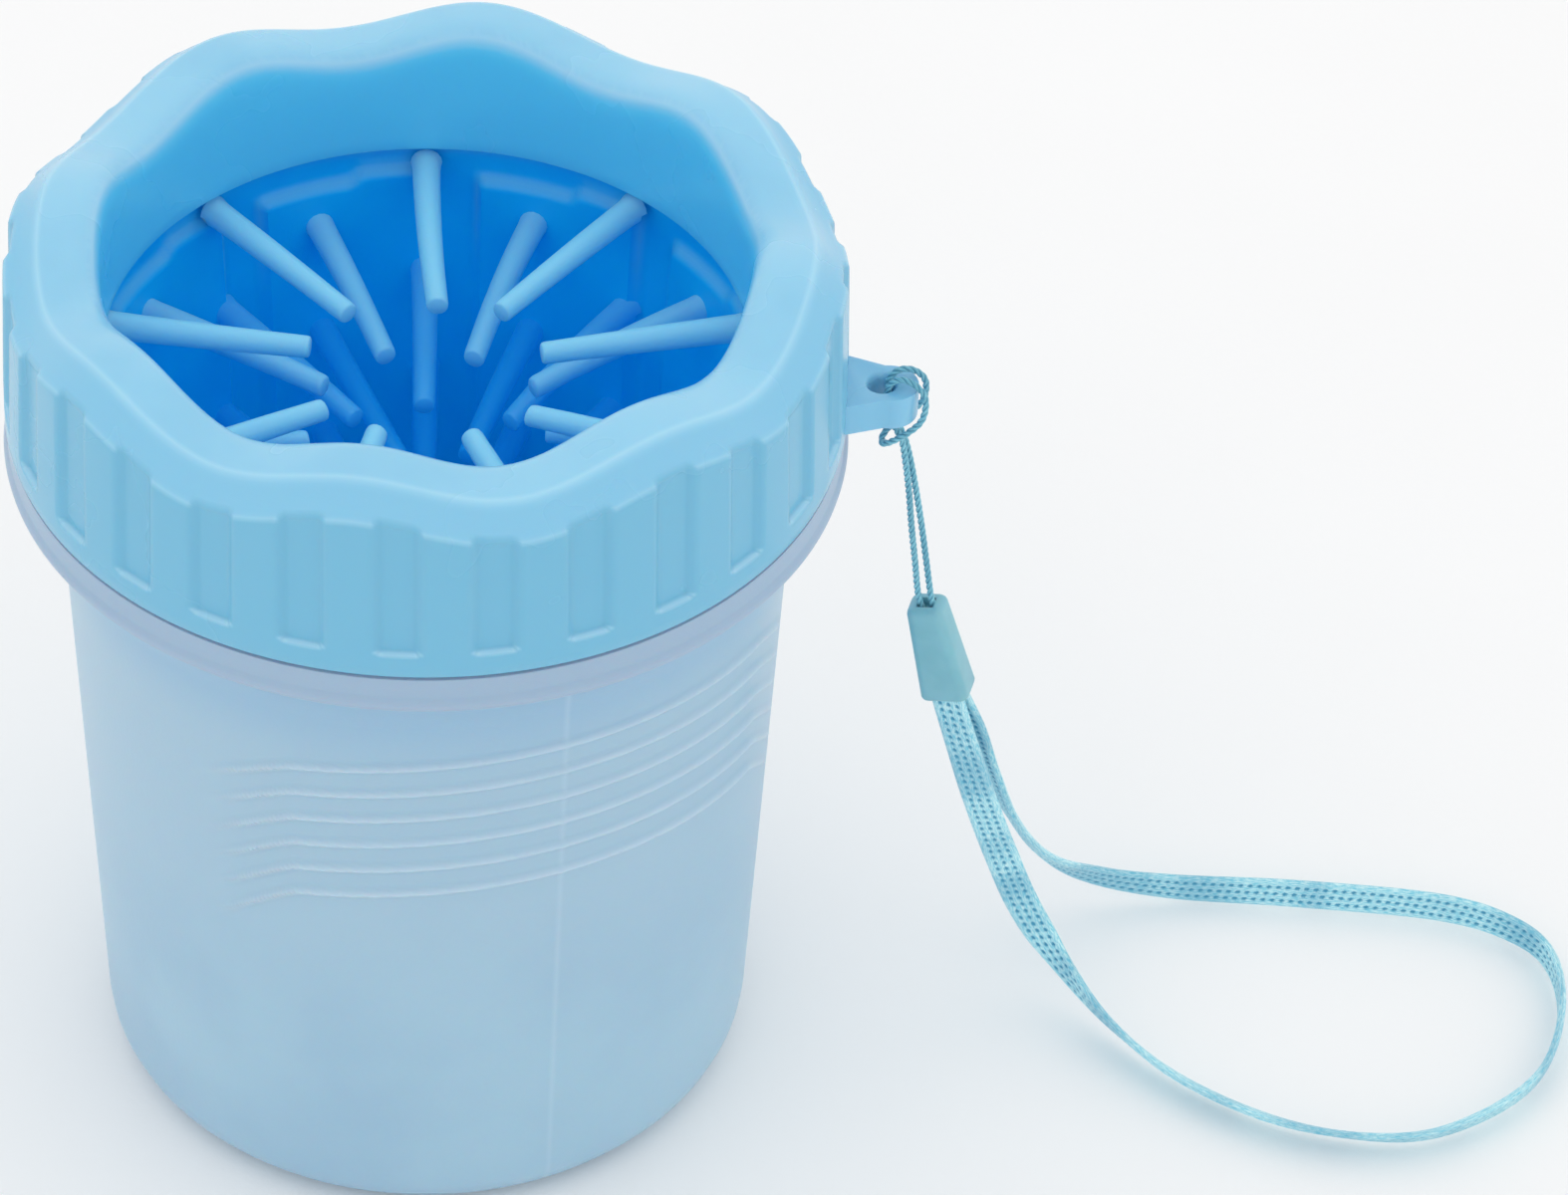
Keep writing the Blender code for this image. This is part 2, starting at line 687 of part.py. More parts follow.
def make_bead(material, parent):
    """A tapered hollow cover, open where the strap enters, with a mouth for the cord on top."""
    bm = bmesh.new()
    mouth_inset = 0.85
    sections = [
        bead_section(bm, 0.0, mouth_inset, 0.5),
        bead_section(bm, 0.0, 0.5, BEAD_CORNER - 0.3),
        bead_section(bm, 0.05, 0.0, BEAD_CORNER),
        bead_section(bm, 0.97, 0.0, BEAD_CORNER),
        bead_section(bm, 1.0, 0.2, BEAD_CORNER - 0.1),
        bead_section(bm, 1.0, BEAD_WALL, BEAD_CORNER - 0.3),
        bead_section(bm, 0.1, BEAD_WALL, BEAD_CORNER - 0.3),
        bead_section(bm, 0.06, mouth_inset, 0.5),
    ]
    for first, second in zip(sections, sections[1:] + sections[:1]):
        bridge(bm, first, second)
    return object_from(bm, "cord_bead", material, parent)


def make_crimp(material, parent):
    """The small folded metal clip inside the bead that grips the strap's ends and the cord's."""
    bm = bmesh.new()
    axis, wide, narrow = bead_frame()
    middle = Vector(BEAD_TOP).lerp(Vector(BEAD_BOTTOM), CRIMP_AT)
    width, depth, length = CRIMP_SIZE
    rings = []
    for along, inset in ((-0.5, 0.3), (-0.35, 0.0), (0.35, 0.0), (0.5, 0.3)):
        outline = rounded_outline(width - 2 * inset, depth - 2 * inset, 0.5)
        centre = middle + axis * length * along
        rings.append([bm.verts.new(centre + wide * x + narrow * y) for x, y in outline])
    for first, second in zip(rings, rings[1:]):
        bridge(bm, first, second)
    bm.faces.new(rings[0])
    bm.faces.new(rings[-1])
    return object_from(bm, "strap_crimp", material, parent)


def main():
    clear_scene()
    brush_axis = axis_empty("brush_lift_axis")
    lid_axis = axis_empty("lid_turn_axis", brush_axis)
    make_cup(plastic("frosted_polypropylene", "#aecbdc", 0.35, alpha=0.75))
    make_brush(plastic("silicone_blue", "#1787cf", 0.45), brush_axis)
    make_lid(plastic("moulded_blue", "#7fc0e4", 0.4), lid_axis)
    make_cord(plastic("twisted_polyester", "#58aecb", 0.7), lid_axis)
    make_bead(plastic("bead_plastic", "#79b2c3", 0.4), lid_axis)
    make_crimp(plastic("crimp_steel", "#b9bcc0", 0.3, metallic=1.0), lid_axis)
    make_strap(plastic("woven_polyester", "#8fd0e0", 0.75), lid_axis)


main()
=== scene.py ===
"""The looks of a paw washer cup: frosted cup, screw-on lid ring, brush sleeve and wrist strap.

Lengths in the tables are millimetres and are scaled by MM; everything in Blender is in metres.
"""

import math
import random

import bmesh
import bpy
import numpy as np
from mathutils import Matrix, Vector


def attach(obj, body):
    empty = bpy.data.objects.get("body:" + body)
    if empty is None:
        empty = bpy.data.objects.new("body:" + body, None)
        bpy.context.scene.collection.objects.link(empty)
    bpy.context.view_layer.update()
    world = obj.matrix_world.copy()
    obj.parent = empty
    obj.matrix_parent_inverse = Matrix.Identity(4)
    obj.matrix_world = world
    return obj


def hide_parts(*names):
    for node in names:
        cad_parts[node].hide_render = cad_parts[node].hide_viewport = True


MM = 0.001
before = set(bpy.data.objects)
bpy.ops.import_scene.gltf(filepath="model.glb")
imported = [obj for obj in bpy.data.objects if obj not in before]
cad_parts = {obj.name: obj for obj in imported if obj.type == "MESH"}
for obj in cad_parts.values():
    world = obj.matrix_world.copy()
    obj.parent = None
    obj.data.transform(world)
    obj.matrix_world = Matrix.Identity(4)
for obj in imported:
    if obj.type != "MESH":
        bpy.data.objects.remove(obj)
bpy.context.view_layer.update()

# ---------------------------------------------------------------- camera

AIM = (0.0408, 0.0, 0.0647)
DISTANCE = 0.799
ELEVATION = math.radians(41.048)
ROLL = math.radians(2.516)
SENSOR_WIDTH = 36.0
LENS = 160.5


def set_camera():
    data = bpy.data.cameras.new("studio_camera")
    data.sensor_width = SENSOR_WIDTH
    data.lens = LENS
    data.clip_start = 0.05
    data.clip_end = 20.0
    camera = bpy.data.objects.new("studio_camera", data)
    bpy.context.scene.collection.objects.link(camera)
    back = Vector((0, -math.cos(ELEVATION), math.sin(ELEVATION)))
    turn = Matrix.Rotation(math.pi / 2 - ELEVATION, 4, "X") @ Matrix.Rotation(ROLL, 4, "Z")
    camera.matrix_world = Matrix.Translation(Vector(AIM) + back * DISTANCE) @ turn
    bpy.context.scene.camera = camera


# ---------------------------------------------------------------- cord and strap routes

# The thin cord: up from the bead, through the eyelet's hole, over its outer arm, round both
# strands below it and back the same way.
CORD_ROUTE = (
    (57.15, 0.12, 62.0),
    (56.65, 0.1, 64.0),
    (56.05, 0.05, 66.2),
    (55.5, -0.1, 71.0),
    (54.85, -0.3, 76.5),
    (54.3, -0.5, 82.0),
    (53.7, -0.62, 86.5),
    (53.2, -0.62, 89.3),
    (52.3, -0.62, 91.3),
    (51.5, -0.62, 93.2),
    (51.35, -0.62, 95.2),
    (51.5, -0.68, 97.2),
    (52.6, -0.9, 98.25),
    (54.1, -1.25, 98.0),
    (55.35, -1.5, 96.7),
    (55.6, -1.65, 94.8),
    (55.1, -1.75, 92.9),
    (53.7, -1.8, 91.3),
    (52.2, -1.6, 90.0),
    (51.2, -0.9, 89.0),
    (51.0, 0.0, 88.7),
    (51.2, 0.9, 89.0),
    (52.2, 1.6, 90.0),
    (53.7, 1.8, 91.3),
    (55.1, 1.75, 92.9),
    (55.6, 1.65, 94.8),
    (55.35, 1.5, 96.7),
    (54.1, 1.25, 98.0),
    (52.6, 0.9, 98.25),
    (51.5, 0.68, 97.2),
    (51.35, 0.62, 95.2),
    (51.5, 0.62, 93.2),
    (52.3, 0.62, 91.3),
    (53.3, 0.62, 89.3),
    (54.1, 0.62, 86.5),
    (55.0, 0.45, 82.0),
    (55.95, 0.3, 76.5),
    (56.75, 0.1, 71.2),
    (57.5, -0.05, 66.2),
    (57.95, -0.1, 64.1),
    (58.35, -0.12, 62.2),
)

# The strap's middle line, from the bead round the loop and back, and the way its width points.
STRAP_ROUTE = (
    ((59.17, -0.78, 55.35), (1.0, -0.26, 0.24)),
    ((60.21, -0.78, 51.15), (1.0, -0.26, 0.24)),
    ((62.1, -0.3, 44.0), (1.0, -0.2, 0.3)),
    ((64.7, 1.2, 34.0), (1.0, 0.0, 0.3)),
    ((67.7, 3.2, 23.5), (0.9, 0.1, 0.4)),
    ((71.1, 4.4, 13.7), (0.6, 0.05, 0.65)),
    ((75.6, 2.9, 6.6), (0.2, -0.1, 0.8)),
    ((82.2, -4.7, 3.4), (-0.15, -0.45, 0.75)),
    ((90.9, -12.5, 2.2), (-0.3, -0.62, 0.66)),
    ((103.1, -18.9, 2.2), (-0.12, -0.75, 0.66)),
    ((116.0, -20.4, 2.25), (0.1, -0.6, 0.8)),
    ((125.1, -16.9, 2.3), (0.2, -0.4, 0.9)),
    ((132.9, -9.4, 2.3), (0.2, -0.2, 1.0)),
    ((136.4, 1.2, 2.3), (0.0, 0.0, 1.0)),
    ((135.7, 10.6, 2.3), (0.0, 0.05, 1.0)),
    ((131.3, 16.0, 2.3), (0.0, 0.1, 1.0)),
    ((122.4, 19.4, 2.3), (0.0, 0.15, 1.0)),
    ((105.0, 20.7, 2.3), (0.0, 0.15, 1.0)),
    ((89.9, 20.8, 2.5), (0.0, 0.0, 1.0)),
    ((80.2, 19.0, 5.6), (0.2, -0.35, 0.9)),
    ((73.4, 13.3, 14.2), (0.45, -0.75, 0.45)),
    ((68.9, 9.1, 24.2), (0.55, -0.85, 0.0)),
    ((65.4, 5.0, 35.5), (0.8, -0.6, 0.15)),
    ((63.0, 2.0, 44.6), (1.0, -0.35, 0.25)),
    ((60.59, 0.78, 51.25), (1.0, -0.26, 0.24)),
    ((59.55, 0.78, 55.45), (1.0, -0.26, 0.24)),
)

CORD_DIAMETER = 0.8
STRAP_WIDTH = 4.0
STRAP_THICKNESS = 1.0
# Any direction that no route sets off in, to start its carried frame with.
FIRST_SIDE = (0.3, 1.0, 0.2)


def smooth_route(points, samples):
    """Points on a Catmull-Rom curve through the given ones, whatever each of them holds."""
    given = np.array(points, float)
    padded = np.vstack([given[:1], given, given[-1:]])
    shares = np.linspace(0, 1, samples, endpoint=False)[:, None]
    found = []
    for a, b, c, d in zip(padded, padded[1:], padded[2:], padded[3:]):
        found.append(
            0.5
            * (
                2 * b
                + (c - a) * shares
                + (2 * a - 5 * b + 4 * c - d) * shares**2
                + (3 * b - a - 3 * c + d) * shares**3
            )
        )
    return np.vstack([*found, given[-1:]])


def even_steps(route, step):
    """The route with its places one step apart, and how far along it each of them lies."""
    gaps = np.linalg.norm(np.diff(route[:, :3], axis=0), axis=1)
    along = np.concatenate([[0.0], np.cumsum(gaps)])
    wanted = np.linspace(0, along[-1], int(round(along[-1] / step)) + 1)
    return np.stack([np.interp(wanted, along, column) for column in route.T], axis=1), wanted


def unit(vectors):
    return vectors / np.linalg.norm(vectors, axis=1, keepdims=True)


def carried_frame(places):
    """For each place of a route, its heading and two directions across it that don't twist."""
    heading = unit(np.gradient(places, axis=0))
    side = np.cross(heading[0], FIRST_SIDE)
    sides = []
    for ahead in heading:
        side = side - ahead * side.dot(ahead)
        side = side / np.linalg.norm(side)
        sides.append(side)
    sides = np.array(sides)
    return heading, sides, np.cross(heading, sides)


# ---------------------------------------------------------------- finishes

# Noise gathers round 0.5, so two colours that change over this band make soft clouds.
CLOUDY = (0.35, 0.65)
# A Mix node has several inputs and outputs of the same names, so its colours go by number.
MIX_BELOW = 6
MIX_ABOVE = 7
MIX_RESULT = 2


def linear(hex_colour):
    """A hex sRGB colour as linear red, green, blue and full alpha."""
    channels = [int(hex_colour[i : i + 2], 16) / 255 for i in (1, 3, 5)]
    return (*(c / 12.92 if c <= 0.04045 else ((c + 0.055) / 1.055) ** 2.4 for c in channels), 1.0)


def add_node(tree, kind, settings=None, inputs=None):
    """Adds a node, sets its own settings, and gives each named input a value or a link."""
    node = tree.nodes.new(kind)
    for name, value in (settings or {}).items():
        setattr(node, name, value)
    for name, value in (inputs or {}).items():
        if isinstance(value, bpy.types.NodeSocket):
            tree.links.new(value, node.inputs[name])
        else:
            node.inputs[name].default_value = value
    return node


def per_mm(size_mm):
    """The scale of a pattern whose lumps are about size_mm across."""
    return 1 / (size_mm * MM)


def new_finish(name, roughness, ior, **more):
    """A material with its shader, whose unvarying numbers sit on the shader's own sockets."""
    material = bpy.data.materials.new(name)
    material.use_nodes = True
    tree = material.node_tree
    shader = tree.nodes["Principled BSDF"]
    shader.inputs["Roughness"].default_value = roughness
    shader.inputs["IOR"].default_value = ior
    for socket, value in more.items():
        shader.inputs[socket.replace("_", " ")].default_value = value
    place = add_node(tree, "ShaderNodeTexCoord").outputs["Object"]
    return material, tree, shader, place


def layered(tree, colour, *layers):
    """Colours laid over the first one and each other. A colour is a hex text or a socket.

    A layer is what decides where it shows, then the values where it starts and where it is full
    if these aren't 0 and 1, then its colour. What decides is a socket, or the name of a mark.
    """
    for share, *band, above in layers:
        if isinstance(share, str):
            share = add_node(tree, "ShaderNodeAttribute", {"attribute_name": share}).outputs["Fac"]
        if band:
            share = add_node(
                tree,
                "ShaderNodeMapRange",
                {"interpolation_type": "SMOOTHSTEP"},
                {"Value": share, "From Min": band[0], "From Max": band[1]},
            ).outputs["Result"]
        below, above = (linear(c) if isinstance(c, str) else c for c in (colour, above))
        colour = add_node(
            tree,
            "ShaderNodeMix",
            {"data_type": "RGBA"},
            {"Factor": share, MIX_BELOW: below, MIX_ABOVE: above},
        ).outputs[MIX_RESULT]
    return colour


def colour_and_relief(tree, shader, colour, height, depth_mm):
    """Links a finish's colour, and its relief with the relief's real depth."""
    tree.links.new(colour, shader.inputs["Base Color"])
    relief = add_node(
        tree, "ShaderNodeBump", inputs={"Height": height, "Distance": depth_mm * MM, "Strength": 1.0}
    )
    tree.links.new(relief.outputs["Normal"], shader.inputs["Normal"])


def axis_distance(tree, place):
    """How far a place is from the cup's axis, and its height, in metres."""
    parts = add_node(tree, "ShaderNodeSeparateXYZ", inputs={"Vector": place}).outputs
    squares = add_node(
        tree, "ShaderNodeMath", {"operation": "MULTIPLY"}, {0: parts["X"], 1: parts["X"]}
    )
    squares = add_node(
        tree,
        "ShaderNodeMath",
        {"operation": "MULTIPLY_ADD"},
        {0: parts["Y"], 1: parts["Y"], 2: squares.outputs["Value"]},
    )
    distance = add_node(
        tree, "ShaderNodeMath", {"operation": "SQRT"}, {0: squares.outputs["Value"]}
    )
    return distance.outputs["Value"], parts["Z"]


def lid_finish():
    """Polypropylene, moulded in a finely blasted tool: satin and faintly cloudy, with painted light
    and shade: a darker side, a deeper and brighter funnel wall, and painted highlights along the
    edges.
    """
    material, tree, shader, place = new_finish(
        "moulded_polypropylene_blue",
        roughness=0.34,
        ior=1.49,
        Subsurface_Weight=0.2,
        Subsurface_Scale=0.002,
    )
    clouds = add_node(
        tree, "ShaderNodeTexNoise", inputs={"Vector": place, "Scale": per_mm(18), "Detail": 3.0}
    ).outputs["Fac"]
    radius, _ = axis_distance(tree, place)
    # Painted shade: beyond its crease the rim falls away to the side, and there it is painted a
    # little darker.
    fall = ((RIM_CREASE - 0.1) * MM, (RIM_CREASE + 1.1) * MM)
    top = layered(tree, "#8ECDEC", (clouds, *CLOUDY, "#96D3F0"), (radius, *fall, "#86C8E8"))
    # Painted shade: below the ledge and in the flutes the side keeps a darker colour than the rim's
    # top. Painted light: the funnel's wall is painted a brighter, deeper blue, and the soft edges
    # get painted highlights.
    colour = layered(
        tree,
        "#74BCDC",
        ("slope", top),
        ("funnel", "#62D4F8"),
        ("soft_edge", "#B4E4F8"),
    )
    grain = add_node(tree, "ShaderNodeTexNoise", inputs={"Vector": place, "Scale": per_mm(0.35)})
    colour_and_relief(tree, shader, colour, grain.outputs["Fac"], depth_mm=0.008)
    satin = add_node(
        tree,
        "ShaderNodeMapRange",
        {"interpolation_type": "SMOOTHSTEP"},
        {"Value": clouds, "From Min": 0.3, "From Max": 0.7, "To Min": 0.22, "To Max": 0.3},
    )
    tree.links.new(satin.outputs["Result"], shader.inputs["Roughness"])
    return material


def cup_finish():
    """Polypropylene without pigment to speak of, blow-moulded and frosted: milky and satin."""
    material, tree, shader, place = new_finish(
        "frosted_polypropylene",
        roughness=0.36,
        ior=1.49,
        Subsurface_Weight=0.3,
        Subsurface_Scale=0.0025,
    )
    radius, height = axis_distance(tree, place)
    clouds = add_node(
        tree, "ShaderNodeTexNoise", inputs={"Vector": place, "Scale": per_mm(26), "Detail": 3.0}
    ).outputs["Fac"]
    # Painted shade: the wall is darker towards its foot and darker again just under the collar,
    # which shades it, and paler in its middle. Painted highlight: the rib crests and the parting
    # line are painted lighter. The collar is thicker and greyer.
    colour = layered(
        tree,
        "#9BC0D8",
        (clouds, *CLOUDY, "#A2C7DC"),
        (height, 20 * MM, 60 * MM, "#A4C5DA"),
        (height, 70 * MM, 82 * MM, "#97BEDA"),
        ("crest", "#BAD6E8"),
        (radius, 44 * MM, 46 * MM, "#9EB9D2"),
    )
    grain = add_node(
        tree,
        "ShaderNodeTexNoise",
        inputs={"Vector": place, "Scale": per_mm(0.5), "Detail": 3.0, "Roughness": 0.6},
    )
    colour_and_relief(tree, shader, colour, grain.outputs["Fac"], depth_mm=0.03)
    return material


def silicone_finish():
    """Silicone rubber, compression moulded: deep blue, with painted light: the bristles are painted
    paler than the wall and paler still higher up, the pads' edges carry painted highlights, and a
    faint glow lifts the deep parts.
    """
    material, tree, shader, place = new_finish(
        "moulded_silicone_blue",
        roughness=0.4,
        ior=1.41,
        Subsurface_Weight=0.3,
        Subsurface_Scale=0.002,
        Emission_Color=linear("#0090C4"),
    )
    _, height = axis_distance(tree, place)
    clouds = add_node(tree, "ShaderNodeTexNoise", inputs={"Vector": place, "Scale": per_mm(9)})
    clouds = clouds.outputs["Fac"]
    # Painted light: the bristles are painted paler than the wall, and paler still the higher they
    # stand, where they catch more light.
    bristle = layered(tree, "#22A4EE", (height, 76 * MM, 95 * MM, "#88D4F4"))
    # Painted highlight: the pads' upper edges are painted lighter.
    colour = layered(
        tree, "#04B2F6", (clouds, *CLOUDY, "#0AB8F8"), ("pad_edge", "#48BCF2"), ("bristle", bristle)
    )
    grain = add_node(tree, "ShaderNodeTexNoise", inputs={"Vector": place, "Scale": per_mm(0.4)})
    colour_and_relief(tree, shader, colour, grain.outputs["Fac"], depth_mm=0.02)
    # Painted light: a faint blue glow, stronger lower down, stands in for the light that comes in
    # through the frosted cup and lifts the deep parts.
    glow = add_node(
        tree,
        "ShaderNodeMapRange",
        {"interpolation_type": "SMOOTHSTEP"},
        {
            "Value": height,
            "From Min": 98 * MM,
            "From Max": 78 * MM,
            "To Min": 0.04,
            "To Max": 0.17,
        },
    )
    tree.links.new(glow.outputs["Result"], shader.inputs["Emission Strength"])
    return material


def bead_finish():
    """Polypropylene, moulded small: satin, with the faint flow marks of a thick section."""
    material, tree, shader, place = new_finish(
        "moulded_bead_polypropylene",
        roughness=0.38,
        ior=1.49,
        Subsurface_Weight=0.3,
        Subsurface_Scale=0.002,
    )
    flow = add_node(tree, "ShaderNodeTexNoise", inputs={"Vector": place, "Scale": per_mm(3)})
    colour = layered(tree, "#7DBCCB", (flow.outputs["Fac"], *CLOUDY, "#83C0CF"))
    grain = add_node(tree, "ShaderNodeTexNoise", inputs={"Vector": place, "Scale": per_mm(0.25)})
    colour_and_relief(tree, shader, colour, grain.outputs["Fac"], depth_mm=0.012)
    return material


def steel_finish():
    """Steel strip, cold folded: bright, with fine rolling lines."""
    material, tree, shader, place = new_finish(
        "folded_steel_strip", roughness=0.32, ior=1.5, Metallic=1.0
    )
    drawn_out = add_node(
        tree, "ShaderNodeMapping", inputs={"Vector": place, "Scale": (1.0, 1.0, 0.08)}
    )
    lines = add_node(
        tree,
        "ShaderNodeTexNoise",
        inputs={"Vector": drawn_out.outputs["Vector"], "Scale": per_mm(0.12)},
    ).outputs["Fac"]
    colour = layered(tree, "#A9ACB0", (lines, 0.3, 0.7, "#C4C6C9"))
    colour_and_relief(tree, shader, colour, lines, depth_mm=0.01)
    return material


def yarn_finish(name, deep, pale, gap_shade_colour, fibre_mm):
    """Polyester filament yarn: its lustre runs along the fibres, and its gaps are painted dark, as
    painted shade.
    """
    material, tree, shader, _ = new_finish(name, roughness=0.55, ior=1.55, Sheen_Weight=0.25)
    uv = add_node(tree, "ShaderNodeUVMap", {"uv_map": "along_across"}).outputs["UV"]
    # Fibres are 0.02 mm thick. They are drawn as coarse as fibre_mm, so that they show.
    drawn_out = add_node(
        tree, "ShaderNodeMapping", inputs={"Vector": uv, "Scale": (0.12, 1.0, 1.0)}
    )
    fibres = add_node(
        tree,
        "ShaderNodeTexNoise",
        inputs={
            "Vector": drawn_out.outputs["Vector"],
            "Scale": per_mm(fibre_mm),
            "Roughness": 0.6,
        },
    ).outputs["Fac"]
    # The lustre comes and goes along the braid as its yarns turn to the light.
    across = add_node(tree, "ShaderNodeMapping", inputs={"Vector": uv, "Scale": (1.0, 0.25, 1.0)})
    turns = add_node(
        tree,
        "ShaderNodeTexNoise",
        inputs={"Vector": across.outputs["Vector"], "Scale": per_mm(11), "Detail": 1.0},
    )
    dulling = add_node(
        tree,
        "ShaderNodeMapRange",
        {"interpolation_type": "SMOOTHSTEP"},
        {
            "Value": turns.outputs["Fac"],
            "From Min": 0.42,
            "From Max": 0.62,
            "To Max": 0.38,
        },
    )
    colour = layered(
        tree,
        deep,
        (fibres, *CLOUDY, pale),
        (dulling.outputs["Result"], gap_shade_colour),
        # Painted shade: the gaps between the stitches and the yarns' inner sides are painted dark.
        ("gap_shade", 0.12, 0.7, gap_shade_colour),
    )
    colour_and_relief(tree, shader, colour, fibres, depth_mm=0.03)
    return material


def paper_finish():
    """Background paper: matt, with the slight cloudiness of its pulp."""
    material, tree, shader, place = new_finish("pale_paper_floor", roughness=0.9, ior=1.45)
    clouds = add_node(tree, "ShaderNodeTexNoise", inputs={"Vector": place, "Scale": per_mm(60)})
    colour = layered(tree, "#FAFAFA", (clouds.outputs["Fac"], "#FDFDFD"))
    grain = add_node(tree, "ShaderNodeTexNoise", inputs={"Vector": place, "Scale": per_mm(1)})
    colour_and_relief(tree, shader, colour, grain.outputs["Fac"], depth_mm=0.02)
    return material


# ---------------------------------------------------------------- modelling by hand

# Places nearer than this, in metres, are one place.
SAME_PLACE = 1e-6
# An edge that rises by less than this isn't an upright one.
LEAST_RISE = 0.3
LEAST_WEIGHT = 1e-3


def angles_and_places(piece):
    """A piece's vertices in millimetres, their distance from the axis, and their angle."""
    count = len(piece.data.vertices)
    places = np.empty(count * 3)
    piece.data.vertices.foreach_get("co", places)
    places = places.reshape(-1, 3) / MM
    return places, np.hypot(places[:, 0], places[:, 1]), np.arctan2(places[:, 1], places[:, 0])


def turn_from(angle, middle, count):
    """Radians from the nearest of count even places round the axis, one of which is middle."""
    pitch = 2 * math.pi / count
    return (angle - middle + pitch / 2) % pitch - pitch / 2


def only(piece):
    """Selects one piece and nothing else, and makes it the active one."""
    bpy.ops.object.select_all(action="DESELECT")
    piece.select_set(True)
    bpy.context.view_layer.objects.active = piece


def select_whole():
    """Selects all that is in edit mode, loose edges too, which face mode would leave out."""
    bpy.ops.mesh.select_mode(type="VERT")
    bpy.ops.mesh.select_all(action="SELECT")


def open_ring(name, columns, radius, height):
    """A ring of edges round the axis, open in edit mode."""
    bpy.ops.object.select_all(action="DESELECT")
    bpy.ops.mesh.primitive_circle_add(vertices=columns, radius=radius * MM, enter_editmode=True)
    piece = bpy.context.object
    piece.name = piece.data.name = name
    select_whole()
    bpy.ops.transform.translate(value=(0, 0, height * MM))
    return piece


def draw_up(places):
    """Extrudes the selected ring from each (radius, height) to the next, as on a lathe."""
    for (before, low), (after, high) in zip(places, places[1:]):
        step = (0, 0, (high - low) * MM)
        bpy.ops.mesh.extrude_region_move(TRANSFORM_OT_translate={"value": step})
        share = after / before
        if after != before:
            bpy.ops.transform.resize(value=(share, share, 1), center_override=(0, 0, high * MM))


def pick(piece, mode, wanted):
    """Selects the edges or faces for which wanted(radius, angle, height, item) holds."""
    bpy.ops.mesh.select_mode(type=mode)
    bpy.ops.mesh.select_all(action="DESELECT")
    shape = bmesh.from_edit_mesh(piece.data)
    for item in {"EDGE": shape.edges, "FACE": shape.faces}[mode]:
        if mode == "EDGE":
            middle = (item.verts[0].co + item.verts[1].co) / 2
        else:
            middle = item.calc_center_median()
        radius, height = math.hypot(middle.x, middle.y) / MM, middle.z / MM
        if wanted(radius, math.atan2(middle.y, middle.x), height, item):
            item.select_set(True)
    shape.select_flush_mode()
    bmesh.update_edit_mesh(piece.data)


def upright(edge):
    first, second = (vert.co for vert in edge.verts)
    return abs(first.z - second.z) > LEAST_RISE * MM


def cut_rows(piece, low, high, cuts, outside_of=0.0):
    """Subdivides the upright edges whose middle lies between two heights into even rows."""
    pick(
        piece,
        "EDGE",
        lambda radius, angle, height, edge: low < height < high
        and radius > outside_of
        and upright(edge),
    )
    bpy.ops.mesh.subdivide(number_cuts=cuts)


def leave_edit(piece):
    bpy.ops.object.mode_set(mode="OBJECT")
    only(piece)


def apply_modifier(piece, name, kind, **settings):
    bpy.context.view_layer.objects.active = piece
    modifier = piece.modifiers.new(name, kind)
    for key, value in settings.items():
        setattr(modifier, key, value)
    bpy.ops.object.modifier_apply(modifier=modifier.name)


def push(piece, name, reach, direction, weights):
    """Moves each vertex by reach millimetres times its weight, which is from 0 to 1."""
    group = piece.vertex_groups.new(name=name)
    for index in np.flatnonzero(weights > LEAST_WEIGHT):
        group.add([int(index)], float(weights[index]), "REPLACE")
    apply_modifier(
        piece,
        name,
        "DISPLACE",
        direction=direction,
        strength=reach * MM,
        mid_level=0.0,
        vertex_group=name,
    )
    piece.vertex_groups.clear()


def face_outward():
    select_whole()
    bpy.ops.mesh.remove_doubles(threshold=SAME_PLACE)
    bpy.ops.mesh.normals_make_consistent(inside=False)


def mark(piece, name, values):
    """Keeps a number for each vertex, for the finish to read."""
    attribute = piece.data.attributes.new(name, "FLOAT", "POINT")
    attribute.data.foreach_set("value", np.array(values, np.float32))


def bell(distance, width):
    """A smooth bump: 1 at the middle and near 0 at two widths."""
    return np.exp(-((distance / width) ** 2))


def rise(values, low, high):
    """0 below low, 1 above high, smooth between."""
    share = np.clip((values - low) / (high - low), 0, 1)
    return share * share * (3 - 2 * share)


def joined(name, pieces):
    """Several objects made one, which keeps the first one's place and material."""
    bpy.ops.object.select_all(action="DESELECT")
    for piece in pieces:
        piece.select_set(True)
    bpy.context.view_layer.objects.active = pieces[0]
    bpy.ops.object.join()
    pieces[0].name = pieces[0].data.name = name
    return pieces[0]


def hand_over(piece, finish, body, slot_name, *nodes):
    piece.data.materials.clear()
    piece.data.materials.append(finish)
    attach(piece, body)
    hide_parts(*nodes)


# ---------------------------------------------------------------- lid ring

LID_RADIUS = 47.0
LID_FOOT = 91.75
FLUTES = 28
FLUTE_LOW = 94.6
FLUTE_HALF_WIDTH = 2.75
FLUTE_CORNER = 1.1
# A flute's floor: its radius at the foot, and how much it leans in for each millimetre up.
FLUTE_FLOOR = 46.15
FLUTE_LEAN = 0.03
LID_COLUMNS = FLUTES * 22
RIM_WAVES = 8
RIM_WAVE_HEIGHT = 1.6
RIM_WAVE_PHASE = math.radians(39)
# Radii in the lid's section: just inside the outer wall, at the rim's crease, at its middle and
# at its inner edge, and just outside the funnel's inner face.
OUTER_WALL = 45.2
RIM_CREASE = 42.7
RIM_MIDDLE = 39.0
RIM_INNER = 37
FUNNEL_FACE = 36.8
# Heights between which the rim's waves grow, on the side and on the funnel.
WAVES_OUTSIDE = (99.0, 109.5)
WAVES_INSIDE = (101.0, 111.5)
